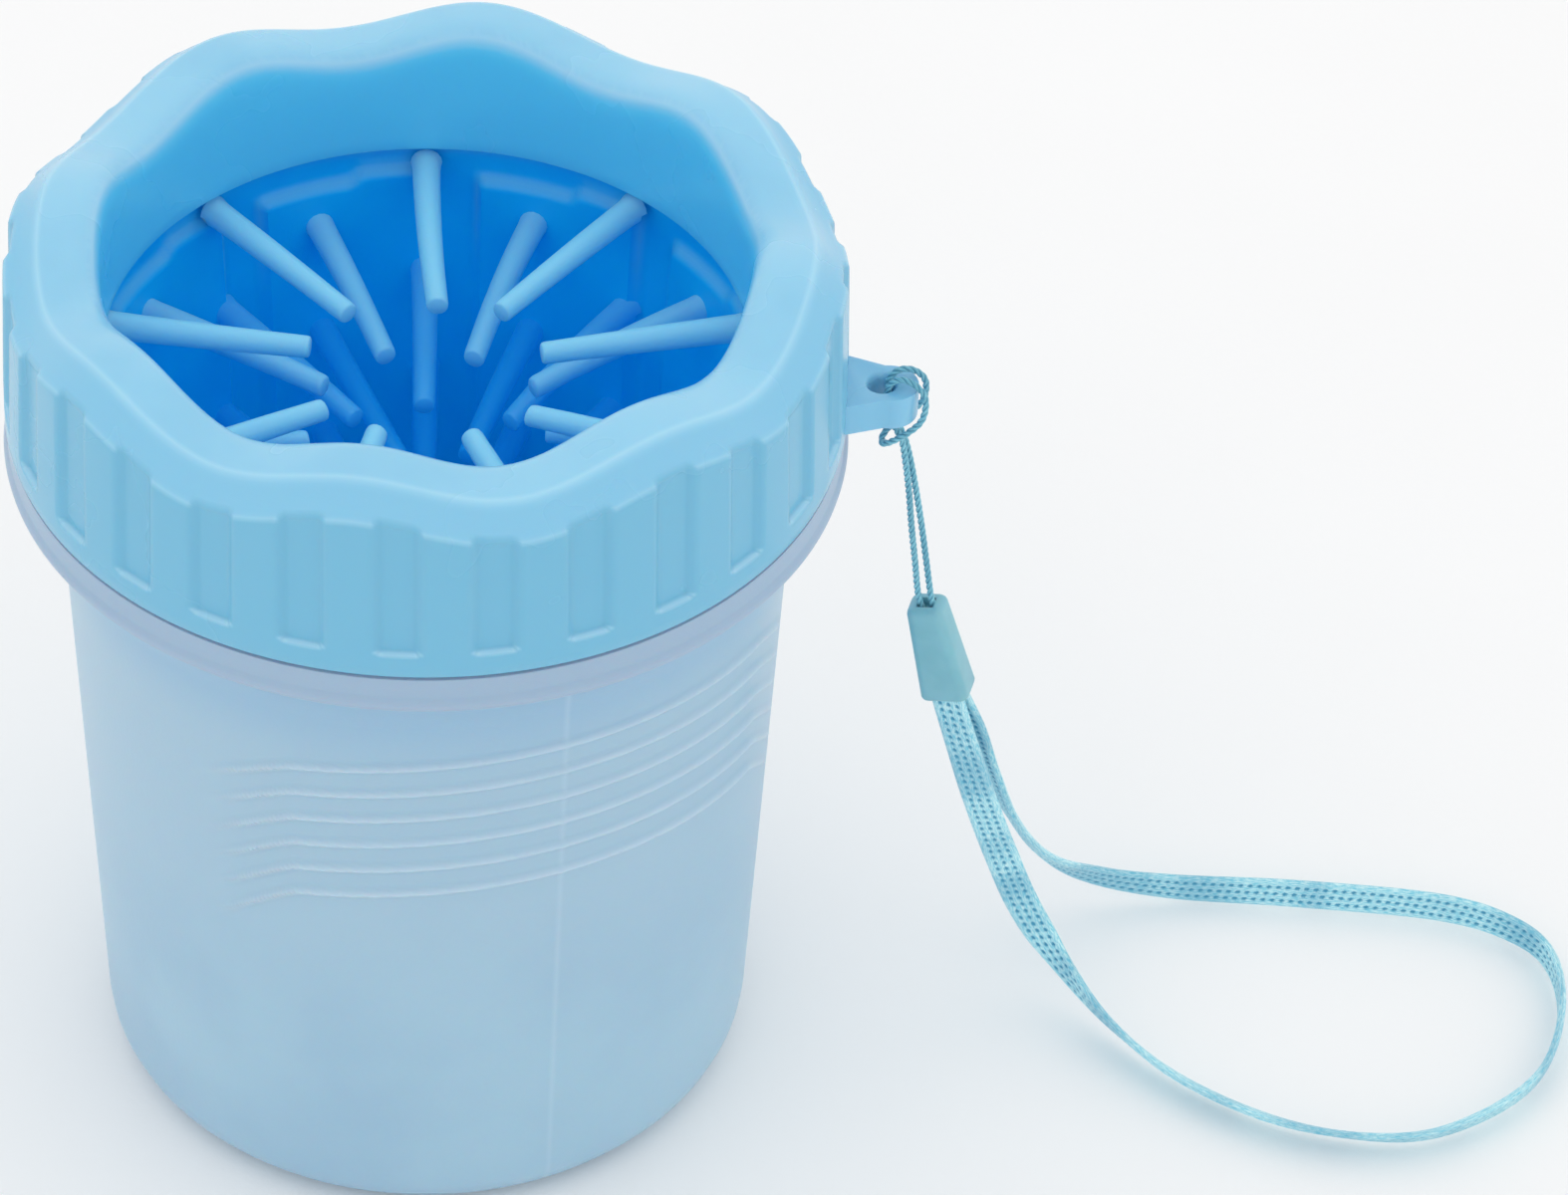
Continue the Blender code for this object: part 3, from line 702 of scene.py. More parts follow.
# Heights of its edges: where the side meets the slope, and the lip over the funnel.
LEDGE = 110.95
LIP = 113.75
FUNNEL_FOOT = 99.3
LID_OUTSIDE = (
    (46.5, LID_FOOT),
    (46.85, 91.85),
    (LID_RADIUS, 92.2),
    (LID_RADIUS, 93.4),
    (46.98, 94.4),
    (46.95, 96.8),
    (46.9, 98.6),
    (46.82, 101.0),
    (46.74, 103.5),
    (46.66, 106.0),
    (46.58, 108.4),
    (46.52, 110.0),
    (46.5, 110.45),
    (46.43, 110.78),
    (46.28, 111.05),
    (46.05, 111.28),
    (45.75, 111.5),
    (45.4, 111.72),
    (45.0, 112.0),
    (44.55, 112.35),
    (44.1, 112.75),
    (43.7, 113.16),
    (43.35, 113.55),
    (43.02, 113.87),
    (42.65, 114.1),
    (42.2, 114.27),
    (41.5, 114.36),
    (40.6, 114.45),
    (39.7, 114.53),
    (38.8, 114.56),
    (38.1, 114.5),
    (37.5, 114.33),
    (37.0, 114.05),
    (36.55, 113.6),
    (36.2, 113.0),
    (35.95, 112.25),
    (35.83, 111.4),
    (35.8, 110.3),
    (35.8, 108.5),
    (35.8, 106.0),
    (35.8, 103.5),
    (35.8, 101.0),
    (35.8, 99.8),
)
LID_HIDDEN = (
    (35.8, 99.8),
    (35.95, 99.4),
    (36.3, FUNNEL_FOOT),
    (37.9, FUNNEL_FOOT),
    (38.3, 99.5),
    (38.4, 99.9),
    (38.4, 100.5),
    (38.1, 100.9),
    (37.5, 101.1),
    (37.5, 105.0),
    (37.5, 108.3),
    (38.0, 108.8),
    (44.4, 108.8),
    (44.9, 108.3),
    (44.9, 100.0),
    (44.9, 92.3),
    (45.1, 91.9),
    (45.5, LID_FOOT),
)


def flute_depths(places, radius, angle):
    """How far each place sinks into a flute, in millimetres, and how strongly the painted highlight
    along a flute's foot shows there.

    A flute is a slot with a rounded foot and a flat floor. It runs up until it leaves the rim's
    slope, so its upper end is an arch.
    """
    turn = turn_from(angle, -math.pi / 2, FLUTES)
    across = np.abs(turn) * LID_RADIUS - (FLUTE_HALF_WIDTH - FLUTE_CORNER)
    below = FLUTE_LOW + FLUTE_CORNER - places[:, 2]
    past_corner = np.hypot(np.clip(across, 0, None), np.clip(below, 0, None))
    outside = past_corner + np.minimum(np.maximum(across, below), 0) - FLUTE_CORNER
    # The sides slope over 1 mm, and the foot is steeper, over half of one.
    sideways = np.clip(across, 0, None) / np.maximum(past_corner, 0.01)
    slope = 0.5 + 0.5 * sideways
    floor = FLUTE_FLOOR - FLUTE_LEAN * (places[:, 2] - FLUTE_LOW)
    share = rise(-outside / slope, -0.1, 1.0)
    depth = np.where(radius > OUTER_WALL, np.clip(radius - floor, 0, None) * share, 0)
    # The painted highlight at the foot is a fine line just inside the flute's outline.
    line = bell(outside + 0.2, 0.17)
    foot = line * rise(below, 0.2, 0.8) * (radius > OUTER_WALL)
    return depth, foot


def mark_lid(lid, depths, feet):
    """Tells the lid's finish where to paint light and shade: the lit slope and top over the side's
    painted shade, the funnel's brighter wall, and the painted highlights along the soft edges.
    """
    places, radius, _ = angles_and_places(lid)
    height = places[:, 2]
    unsunk = 1 - np.clip(depths / 0.25, 0, 1)
    ledge = bell(height - LEDGE, 0.22) * (radius > OUTER_WALL) * unsunk
    crease = bell(radius - RIM_CREASE, 0.3)
    lip = bell(height - LIP, 0.25) * (radius < RIM_INNER)
    # Painted light: the slope mark brings the rim's lighter top colour over the side's painted
    # shade, but not into the flutes; the soft edges are painted highlights at the flutes' feet, the
    # ledge, the crease and the lip.
    mark(lid, "slope", rise(height, 110.7, 111.2) * unsunk)
    mark(lid, "funnel", (radius < RIM_MIDDLE) * (1 - rise(height, 111.9, 113.7)))
    mark(lid, "soft_edge", np.max([0.8 * feet, 0.4 * ledge, 0.5 * crease, 0.5 * lip], axis=0))


def wave_rim(lid):
    """Lifts and lowers the rim in waves that fade out down the side and down the funnel."""
    places, radius, angle = angles_and_places(lid)
    height = places[:, 2]
    swell = 0.5 + 0.5 * np.cos(RIM_WAVES * (angle - RIM_WAVE_PHASE))
    outside = rise(height, *WAVES_OUTSIDE) * (radius > RIM_MIDDLE)
    inside = rise(height, *WAVES_INSIDE) * (radius <= RIM_MIDDLE)
    hidden = (radius < OUTER_WALL) & (radius > FUNNEL_FACE) & (height < WAVES_OUTSIDE[1])
    share = np.where(hidden, 0.0, outside + inside)
    push(lid, "wave_down", -2 * RIM_WAVE_HEIGHT, "Z", share * 0.5)
    push(lid, "wave_up", 2 * RIM_WAVE_HEIGHT, "Z", swell * share)


def make_lid():
    lid = open_ring("lid_ring_moulding", LID_COLUMNS, *LID_OUTSIDE[0])
    draw_up(LID_OUTSIDE + LID_HIDDEN[1:])
    pick(
        lid,
        "EDGE",
        lambda radius, angle, height, edge: edge.is_boundary,
    )
    bpy.ops.mesh.bridge_edge_loops()
    face_outward()
    # Fine rows at the flutes' feet, which are round and steep.
    cut_rows(lid, FLUTE_LOW, 96.2, 19, outside_of=46)
    leave_edit(lid)
    depths, feet = flute_depths(*angles_and_places(lid))
    mark_lid(lid, depths, feet)
    push(lid, "flutes", -1.0, "NORMAL", depths)
    wave_rim(lid)
    lid.data.shade_smooth()
    lid.data.set_sharp_from_angle(angle=math.radians(50))
    return lid


# The eyelet's round end, its root in the lid's side, and its hole.
EYELET_MIDDLE = 51.6
EYELET_RADIUS = 3.2
EYELET_LOW = 93.0
EYELET_THICKNESS = 4.0
EYELET_ROOT = 45.4
ROOT_FROM = 51.0
ROOT_HALF_WIDTH = 3.15
ROOT_FLARE = 0.62
HOLE_MIDDLE = (50.6 * MM, 0, (EYELET_LOW + EYELET_THICKNESS / 2) * MM)
HOLE_RADIUS = 1.5
HOLE_STRAIGHT = 2.4
# Steps outward from the hole's straight middle, and how much wider it gets at each.
HOLE_MOUTH = ((0.4, 1.06), (0.3, 1.14), (0.2, 1.2), (1.0, 1.0))


def make_eyelet():
    """A flat loop on the lid's side: a tapered plate with a rounded edge and a round hole."""
    bpy.ops.object.select_all(action="DESELECT")
    bpy.ops.mesh.primitive_circle_add(
        vertices=32,
        radius=EYELET_RADIUS * MM,
        location=(EYELET_MIDDLE * MM, 0, EYELET_LOW * MM),
        fill_type="NGON",
    )
    plate = bpy.context.object
    bpy.ops.object.transform_apply(location=True)
    bpy.ops.object.mode_set(mode="EDIT")
    select_whole()
    bpy.ops.mesh.extrude_region_move(
        TRANSFORM_OT_translate={"value": (0, 0, EYELET_THICKNESS * MM)}
    )
    shape = bmesh.from_edit_mesh(plate.data)
    # The half towards the lid opens out to the width of the root.
    round_half = ROOT_FROM - (EYELET_MIDDLE - EYELET_RADIUS)
    for vert in shape.verts:
        if vert.co.x < ROOT_FROM * MM:
            share = (ROOT_FROM - vert.co.x / MM) / round_half
            half_width = max(abs(vert.co.y), ROOT_HALF_WIDTH * MM) * (1 + ROOT_FLARE * share)
            vert.co.x = (ROOT_FROM - (ROOT_FROM - EYELET_ROOT) * min(share, 1.0)) * MM
            vert.co.y = math.copysign(half_width, vert.co.y)
    bmesh.update_edit_mesh(plate.data)
    face_outward()
    leave_edit(plate)
    apply_modifier(
        plate, "soft_edge", "BEVEL", width=1.75 * MM, segments=6, limit_method="ANGLE", profile=0.5
    )
    bpy.ops.mesh.primitive_cylinder_add(
        vertices=40, radius=HOLE_RADIUS * MM, depth=HOLE_STRAIGHT * MM, location=HOLE_MIDDLE
    )
    drill = bpy.context.object
    bpy.ops.object.mode_set(mode="EDIT")
    for side in (1, -1):
        bpy.ops.mesh.select_mode(type="FACE")
        bpy.ops.mesh.select_all(action="DESELECT")
        shape = bmesh.from_edit_mesh(drill.data)
        for face in shape.faces:
            face.select_set(face.normal.z * side > 0.9)
        bmesh.update_edit_mesh(drill.data)
        for step, grow in HOLE_MOUTH:
            lift = {"value": (0, 0, side * step * MM)}
            bpy.ops.mesh.extrude_region_move(TRANSFORM_OT_translate=lift)
            bpy.ops.transform.resize(value=(grow, grow, 1), center_override=HOLE_MIDDLE)
    leave_edit(drill)
    bpy.context.view_layer.objects.active = plate
    apply_modifier(plate, "hole", "BOOLEAN", operation="DIFFERENCE", object=drill, solver="EXACT")
    bpy.data.objects.remove(drill)
    # Painted light: the whole eyelet takes the rim's lighter top colour, not the side's painted
    # shade.
    mark(plate, "slope", np.ones(len(plate.data.vertices)))
    plate.data.shade_smooth()
    plate.data.set_sharp_from_angle(angle=math.radians(40))
    return plate


THREAD_PITCH = 5.0
THREAD_TURNS = 1.1
THREAD_STEPS = 132
THREAD_ROOT_HALF = 1.1
THREAD_CREST_HALF = 0.5


def thread_ridge(name, root, crest, start):
    """A right-hand screw ridge: a small section turned round the axis as it rises."""
    bpy.ops.object.select_all(action="DESELECT")
    bpy.ops.mesh.primitive_plane_add(size=1)
    ridge = bpy.context.object
    ridge.name = name
    bpy.ops.object.mode_set(mode="EDIT")
    shape = bmesh.from_edit_mesh(ridge.data)
    corners = (
        (root, -THREAD_ROOT_HALF),
        (crest, -THREAD_CREST_HALF),
        (crest, THREAD_CREST_HALF),
        (root, THREAD_ROOT_HALF),
    )
    for vert, (radius, height) in zip(shape.faces[:][0].verts, corners):
        vert.co = (radius * MM, 0, (start + height) * MM)
    bmesh.update_edit_mesh(ridge.data)
    bpy.ops.mesh.delete(type="ONLY_FACE")
    leave_edit(ridge)
    apply_modifier(
        ridge,
        "screw",
        "SCREW",
        angle=2 * math.pi * THREAD_TURNS,
        screw_offset=THREAD_PITCH * THREAD_TURNS * MM,
        steps=THREAD_STEPS,
        render_steps=THREAD_STEPS,
        axis="Z",
    )
    bpy.ops.object.mode_set(mode="EDIT")
    bpy.ops.mesh.select_mode(type="EDGE")
    bpy.ops.mesh.select_all(action="DESELECT")
    bpy.ops.mesh.select_non_manifold(extend=False)
    bpy.ops.mesh.edge_face_add()
    face_outward()
    leave_edit(ridge)
    return ridge


# ---------------------------------------------------------------- cup

CUP_OUTSIDE = (
    (1.2, 0.75),
    (1.6, 0.5),
    (25.5, 0.5),
    (26.6, 0.3),
    (27.6, 0.0),
    (32.0, 0.0),
    (33.57, 0.21),
    (35.0, 0.8),
    (36.24, 1.76),
    (37.2, 3.0),
    (37.79, 4.45),
    (38.0, 6.0),
    (39.61, 42.0),
    (41.26, 79.0),
    (41.6, 81.8),
    (42.6, 83.3),
    (44.6, 85.2),
    (46.2, 86.5),
    (46.85, 86.95),
    (47.15, 87.35),
    (47.25, 87.8),
    (47.1, 88.25),
    (46.85, 88.6),
    (46.8, 89.0),
    (46.8, 90.9),
    (46.75, 91.3),
    (46.4, 91.4),
    (43.3, 91.4),
    (43.0, 91.7),
    (43.0, 105.6),
    (42.85, 106.05),
    (42.4, 106.2),
    (41.2, 106.2),
    (40.8, 106.05),
    (40.7, 105.6),
    (40.7, 87.8),
    (40.4, 86.0),
    (39.6, 82.5),
    (39.3, 79.0),
    (37.6, 42.0),
    (36.0, 6.4),
    (35.6, 4.6),
    (34.4, 3.0),
    (32.6, 2.2),
    (30.5, 2.0),
    (2.0, 2.0),
)
CUP_COLUMNS = 480
# The ribs and the parting line are on both halves of the mould, half a turn apart.
MOULD_HALVES = 2
RIB_MIDDLE = math.radians(295.5)
RIB_COUNT = 6
RIB_TOP = 74.4
RIB_PITCH = 3.9
RIB_WIDTH = 0.48
RIB_HEIGHT = 0.6
# A rib sags with the square of its degrees from the middle, and past its shoulder it hooks
# down, the lower ribs more than the upper ones, until it has faded out.
RIB_SAG = 0.0017
RIB_SHOULDER = 42
RIB_HOOK = 0.22
RIB_HOOK_GROWTH = 0.04
RIB_FADE = (50, 61)
SEAM_HALF_WIDTH = 0.4
SEAM_HEIGHT = 0.08


def rib_weights(height, angle):
    """The raised arcs, each a soft ridge that falls away from the mould's parting line."""
    reach = np.abs(np.degrees(turn_from(angle, RIB_MIDDLE, MOULD_HALVES)))
    beyond = np.clip(reach - RIB_SHOULDER, 0, None)
    weights = np.zeros(len(height))
    for rib in range(RIB_COUNT):
        hook = (RIB_HOOK + RIB_HOOK_GROWTH * rib) * beyond**2 / (beyond + 3)
        centre = RIB_TOP - RIB_PITCH * rib - RIB_SAG * reach**2 - hook
        weights = np.maximum(weights, bell(height - centre, RIB_WIDTH))
    # Only between the rows that are cut fine enough to carry them.
    return weights * (1 - rise(reach, *RIB_FADE)) * (height > 42.1) * (height < 78.9)


def seam_weights(height, angle):
    """The parting line, a hair's width of flash from the base to the collar."""
    turn = np.abs(np.degrees(turn_from(angle, RIB_MIDDLE, MOULD_HALVES)))
    return (turn < SEAM_HALF_WIDTH) * (height > 3) * (height < 90)


def make_cup():
    cup = open_ring("cup_shell", CUP_COLUMNS, *CUP_OUTSIDE[0])
    draw_up(CUP_OUTSIDE)
    bpy.ops.mesh.edge_face_add()
    pick(cup, "EDGE", lambda radius, angle, height, edge: edge.is_boundary)
    bpy.ops.mesh.edge_face_add()
    face_outward()
    cut_rows(cup, 40, 80, 130, outside_of=39.5)
    leave_edit(cup)
    places, radius, angle = angles_and_places(cup)
    height = places[:, 2]
    # The cup widens upwards, and this cone passes between its inner and outer faces.
    outer = radius > 37.0 + height / 22
    crests = rib_weights(height, angle) * outer
    seam = seam_weights(height, angle) * outer
    # Painted highlight: the rib crests, and more faintly the parting line, are painted lighter.
    mark(cup, "crest", np.maximum(crests**2, 0.3 * seam))
    push(cup, "ribs", RIB_HEIGHT, "NORMAL", crests)
    push(cup, "parting_line", SEAM_HEIGHT, "NORMAL", seam)
    cup.data.shade_smooth()
    cup.data.set_sharp_from_angle(angle=math.radians(50))
    return cup


# ---------------------------------------------------------------- brush sleeve

SLEEVE_COLUMNS = 360
SLEEVE_WALL = 1.6
GROOVES = 9
GROOVE_PHASE = math.radians(129)
# Degrees from a groove's middle: where its floor ends and the pad is at its full height, and
# where the pad's upper edge steps down.
GROOVE_EDGE = (3.3, 5.0)
PAD_STEP = (16.0, 19.0)
PAD_HEIGHT = 1.3
PAD_TOP = 96.3
PAD_STEP_DOWN = 1.2
PAD_TOP_EDGE = (-1.6, 0.4)
WINDOW_LOW = 101.6
WINDOW_HIGH = 105.0
SLEEVE_FACE = (
    (42.4, 108.2),
    (38.6, 108.2),
    (38.0, 107.8),
    (38.0, WINDOW_HIGH),
    (38.0, WINDOW_LOW),
    (38.5, 101.0),
    (38.9, 100.4),
    (38.9, 98.9),
    (38.6, 98.4),
    (38.2, 98.0),
    (37.9, 97.4),
    (37.9, 96.3),
    (37.1, 82.0),
    (34.9, 31.0),
)


def groove_turn(angle):
    """Degrees from the nearest groove's middle, positive the way angles grow."""
    return np.degrees(turn_from(angle, GROOVE_PHASE, GROOVES))


def pad_weights(height, angle):
    """The raised pads between the grooves. Past its top bristle a pad's upper edge steps down."""
    turn = groove_turn(angle)
    beside = rise(np.abs(turn), *GROOVE_EDGE)
    step = np.where(turn > 0, rise(turn, *PAD_STEP), 1.0)
    top = PAD_TOP - PAD_STEP_DOWN * step
    below, above = PAD_TOP_EDGE
    return beside * (1 - rise(height, top + below, top + above))


def make_sleeve_wall():
    sleeve = open_ring("sleeve_wall", SLEEVE_COLUMNS, *SLEEVE_FACE[0])
    draw_up(SLEEVE_FACE)
    # The face's two long stretches, which have their middles at about 89 and 56.
    cut_rows(sleeve, 85, 93, 40)
    cut_rows(sleeve, 50, 60, 50)
    pick(
        sleeve,
        "FACE",
        lambda radius, angle, height, face: WINDOW_LOW < height < WINDOW_HIGH
        and abs(groove_turn(angle)) < GROOVE_EDGE[0],
    )
    bpy.ops.mesh.delete(type="FACE")
    bpy.ops.mesh.select_all(action="SELECT")
    # The flange's upper face goes on into the wall's inner face, so outward is towards the axis.
    bpy.ops.mesh.normals_make_consistent(inside=False)
    leave_edit(sleeve)
    places, _, angle = angles_and_places(sleeve)
    height = places[:, 2]
    weights = pad_weights(height, angle)
    # Painted highlight along the pads' edges, high in the sleeve.
    # Half way up a pad's edge its weight is a half, which makes this 1.
    mark(sleeve, "pad_edge", 4 * weights * (1 - weights) * rise(height, 80, 93))
    push(sleeve, "pads", PAD_HEIGHT, "NORMAL", weights)
    apply_modifier(
        sleeve, "wall", "SOLIDIFY", thickness=SLEEVE_WALL * MM, offset=-1.0, use_even_offset=True
    )
    sleeve.data.shade_smooth()
    sleeve.data.set_sharp_from_angle(angle=math.radians(50))
    return sleeve


# A bristle's root lies 1 mm in front of the wall's face, within its pad, and the wall narrows
# below the height where its taper starts.
BRISTLE_ROOT = 36.9
TAPER_FROM = 82
TAPER = 0.045
BRISTLE_ROWS = 9
BRISTLES_IN_ROW = 9
BRISTLE_TOP = 97.0
BRISTLE_PITCH = 7.4
BRISTLE_TIP = 12.2
BRISTLE_SIDES = 16
# The first row's first bristle, and how far every other row is turned from it, in degrees.
FIRST_BRISTLE = 15
STAGGER = 20
# Share of the length, and radius, from the flared root to the rounded tip.
BRISTLE_PROFILE = (
    (0.0, 1.85),
    (0.03, 1.7),
    (0.07, 1.62),
    (0.2, 1.56),
    (0.35, 1.51),
    (0.5, 1.45),
    (0.65, 1.39),
    (0.8, 1.33),
    (0.978, 1.27),
    (0.994, 1.2),
    (1.0, 1.02),
)


def model_bristle():
    """One straight bristle along X, from its flared root at 0 to its rounded tip at 1 metre."""
    bpy.ops.object.select_all(action="DESELECT")
    bpy.ops.mesh.primitive_circle_add(
        vertices=BRISTLE_SIDES,
        radius=BRISTLE_PROFILE[0][1] * MM,
        rotation=(0, math.pi / 2, 0),
        fill_type="NOTHING",
    )
    bristle = bpy.context.object
    bristle.name = bristle.data.name = "bristle"
    bpy.ops.object.transform_apply(rotation=True)
    bpy.ops.object.mode_set(mode="EDIT")
    select_whole()
    for (start, before), (end, after) in zip(BRISTLE_PROFILE, BRISTLE_PROFILE[1:]):
        step = {"value": (end - start, 0, 0)}
        bpy.ops.mesh.extrude_region_move(TRANSFORM_OT_translate=step)
        share = after / before
        bpy.ops.transform.resize(value=(1, share, share), center_override=(end, 0, 0))
    bpy.ops.mesh.edge_face_add()
    face_outward()
    leave_edit(bristle)
    return bristle


def bristle_plan():
    """Each bristle's height, angle, tip distance, droop and sway, in millimetres and degrees."""
    dice = random.Random(7)
    plan = []
    for row in range(BRISTLE_ROWS):
        first = FIRST_BRISTLE + STAGGER * (row % 2)
        for k in range(BRISTLES_IN_ROW):
            plan.append(
                (
                    BRISTLE_TOP - row * BRISTLE_PITCH + dice.uniform(-0.3, 0.3),
                    first + 360 * k / BRISTLES_IN_ROW + dice.uniform(-1.2, 1.2),
                    BRISTLE_TIP + dice.uniform(-0.8, 1.6),
                    dice.uniform(0.4, 2.0),
                    dice.uniform(-1.6, 1.6),
                )
            )
    return plan


def make_bristles():
    pattern = model_bristle()
    straight = np.empty(len(pattern.data.vertices) * 3)
    pattern.data.vertices.foreach_get("co", straight)
    straight = straight.reshape(-1, 3)
    share = straight[:, 0]
    copies = []
    for height, degrees, tip, droop, sway in bristle_plan():
        root = BRISTLE_ROOT - TAPER * max(0.0, TAPER_FROM - height)
        distance = root + (tip - root) * share
        across = straight[:, 1] / MM + sway * share**2
        lift = straight[:, 2] / MM + height - droop * share**1.7
        turn = math.radians(degrees)
        bent = np.stack(
            [
                distance * math.cos(turn) - across * math.sin(turn),
                distance * math.sin(turn) + across * math.cos(turn),
                lift,
            ],
            axis=1,
        )
        copy = pattern.copy()
        copy.data = pattern.data.copy()
        copy.data.vertices.foreach_set("co", (bent * MM).ravel())
        # Pointing the axis-ward way turns the copy's faces inside out.
        copy.data.flip_normals()
        bpy.context.scene.collection.objects.link(copy)
        copies.append(copy)
    bpy.data.objects.remove(pattern)
    bristles = joined("bristles", copies)
    mark(bristles, "bristle", np.ones(len(bristles.data.vertices)))
    bristles.data.shade_smooth()
    bristles.data.set_sharp_from_angle(angle=math.radians(55))
    return bristles


# ---------------------------------------------------------------- lanyard

BEAD_TOP = Vector((56.9, 0.0, 65.6)) * MM
BEAD_BOTTOM = Vector((60.4, 0.0, 51.2)) * MM
BEAD_TURN = math.radians(14)
# The bead's width and thickness at its base and at its top, and how much shorter it is than the
# way from its top to its bottom place.
BEAD_BASE = (5.8, 4.7)
BEAD_NECK = (4.3, 3.9)
BEAD_SHORTER = 1.4
# Its edges, and the number of steps that round each: upright, round the top, round the base.
BEAD_SIDES = (1.05, 5)
BEAD_TOP_EDGE = (0.75, 4)
BEAD_BASE_EDGE = (0.25, 2)
# Each end's hollow: which way it faces, how thick its wall is, and how deep it goes.
BEAD_HOLLOWS = ((1, 0.35, 0.9), (-1, 0.3, 9.0))
HOLLOW_STEP = 0.25
HOLLOW_SHRINK = 0.94


def bead_matrix():
    """Stands a bead modelled upright, with its width along X, in its hanging place."""
    up = (BEAD_TOP - BEAD_BOTTOM).normalized()
    wide = Vector((math.cos(BEAD_TURN), -math.sin(BEAD_TURN), 0))
    wide = (wide - up * wide.dot(up)).normalized()
    narrow = up.cross(wide)
    turn = Matrix((wide, narrow, up)).transposed().to_4x4()
    return Matrix.Translation((BEAD_TOP + BEAD_BOTTOM) / 2) @ turn


def make_bead():
    """A tapered hollow cover: a block, tapered, its edges rounded, hollowed from both ends."""
    length = (BEAD_TOP - BEAD_BOTTOM).length - BEAD_SHORTER * MM
    half = length / 2 / MM
    width, thickness = BEAD_BASE
    bpy.ops.object.select_all(action="DESELECT")
    bpy.ops.mesh.primitive_cube_add(size=1, scale=(width * MM, thickness * MM, length))
    bead = bpy.context.object
    bead.name = bead.data.name = "bead_cover"
    bpy.ops.object.transform_apply(scale=True)
    bpy.ops.object.mode_set(mode="EDIT")
    pick(bead, "FACE", lambda radius, angle, height, face: face.normal.z > 0.9)
    bpy.ops.transform.resize(
        value=(BEAD_NECK[0] / width, BEAD_NECK[1] / thickness, 1), center_override=(0, 0, length / 2)
    )
    for (offset, segments), wanted in (
        (BEAD_SIDES, lambda radius, angle, height, edge: abs(height) < 1),
        (BEAD_TOP_EDGE, lambda radius, angle, height, edge: height > half - 0.05),
        (BEAD_BASE_EDGE, lambda radius, angle, height, edge: height < 0.05 - half),
    ):
        pick(bead, "EDGE", wanted)
        bpy.ops.mesh.bevel(offset=offset * MM, segments=segments, affect="EDGES")
    for side, inset, deep in BEAD_HOLLOWS:
        pick(
            bead,
            "FACE",
            lambda radius, angle, height, face: face.normal.z * side > 0.99
            and abs(height) > half - 0.3,
        )
        bpy.ops.mesh.inset(thickness=inset * MM)
        hollow = {"value": (0, 0, -side * HOLLOW_STEP * MM)}
        bpy.ops.mesh.extrude_region_move(TRANSFORM_OT_translate=hollow)
        bpy.ops.transform.resize(
            value=(HOLLOW_SHRINK, HOLLOW_SHRINK, 1), center_override=(0, 0, 0)
        )
        hollow = {"value": (0, 0, -side * deep * MM)}
        bpy.ops.mesh.extrude_region_move(TRANSFORM_OT_translate=hollow)
    leave_edit(bead)
    bead.data.transform(bead_matrix())
    bead.data.shade_smooth()
    bead.data.set_sharp_from_angle(angle=math.radians(50))
    return bead


def mesh_piece(name, places_mm, faces, uvs, gap_shade):
    """An object from a grid of places, with its UV map and its mark for the painted shade in the
    gaps, faces outward.
    """
    data = bpy.data.meshes.new(name)
    data.from_pydata((np.array(places_mm) * MM).tolist(), [], faces)
    corners = np.empty(len(data.loops), int)
    data.loops.foreach_get("vertex_index", corners)
    layer = data.uv_layers.new(name="along_across")
    layer.data.foreach_set("uv", (np.array(uvs) * MM)[corners].ravel())
    data.shade_smooth()
    piece = bpy.data.objects.new(name, data)
    mark(piece, "gap_shade", gap_shade)
    bpy.context.scene.collection.objects.link(piece)
    only(piece)
    bpy.ops.object.mode_set(mode="EDIT")
    bpy.ops.mesh.select_all(action="SELECT")
    bpy.ops.mesh.normals_make_consistent(inside=False)
    leave_edit(piece)
    return piece


def tube_faces(rings, sides, first=0):
    """Faces of a tube whose vertices run ring by ring, with both ends capped."""
    faces = []
    for ring in range(rings - 1):
        for side in range(sides):
            a = first + ring * sides + side
            b = first + ring * sides + (side + 1) % sides
            faces.append((a, b, b + sides, a + sides))
    faces.append(tuple(first + side for side in range(sides))[::-1])
    faces.append(tuple(first + (rings - 1) * sides + side for side in range(sides)))
    return faces


YARNS = 3
YARN_SIDES = 7
YARN_RADIUS = 0.53 * CORD_DIAMETER / 2
# How far along the cord a yarn goes in one turn round it.
CORD_LAY = 2.6
# The yarns lie side by side in the UV map, this far apart.
YARN_APART = 3


def make_cord():
    """Three yarns laid together round the route, so the cord's twist is real."""
    route, along = even_steps(smooth_route(CORD_ROUTE, samples=12), step=0.14)
    _, side, other = carried_frame(route)
    centre_radius = CORD_DIAMETER / 2 - YARN_RADIUS
    places, faces, uvs, gap_shade = [], [], [], []
    for yarn in range(YARNS):
        turn = 2 * np.pi * (along / CORD_LAY + yarn / YARNS)
        outward = side * np.cos(turn)[:, None] + other * np.sin(turn)[:, None]
        centre = route + outward * centre_radius
        ahead = unit(np.gradient(centre, axis=0))
        flat = np.cross(ahead, outward)
        faces += tube_faces(len(route), YARN_SIDES, len(places))
        for i in range(len(route)):
            for k in range(YARN_SIDES):
                round_it = 2 * math.pi * k / YARN_SIDES
                direction = outward[i] * math.cos(round_it) + flat[i] * math.sin(round_it)
                places.append(centre[i] + direction * YARN_RADIUS)
                uvs.append((along[i], yarn * YARN_APART + round_it * YARN_RADIUS))
                # Painted shade: each yarn is darker on its side towards the cord's middle.
                gap_shade.append(0.5 - 0.5 * math.cos(round_it))
    cord = mesh_piece("loop_cord_twisted", places, faces, uvs, gap_shade)
    return cord, route, along[-1]


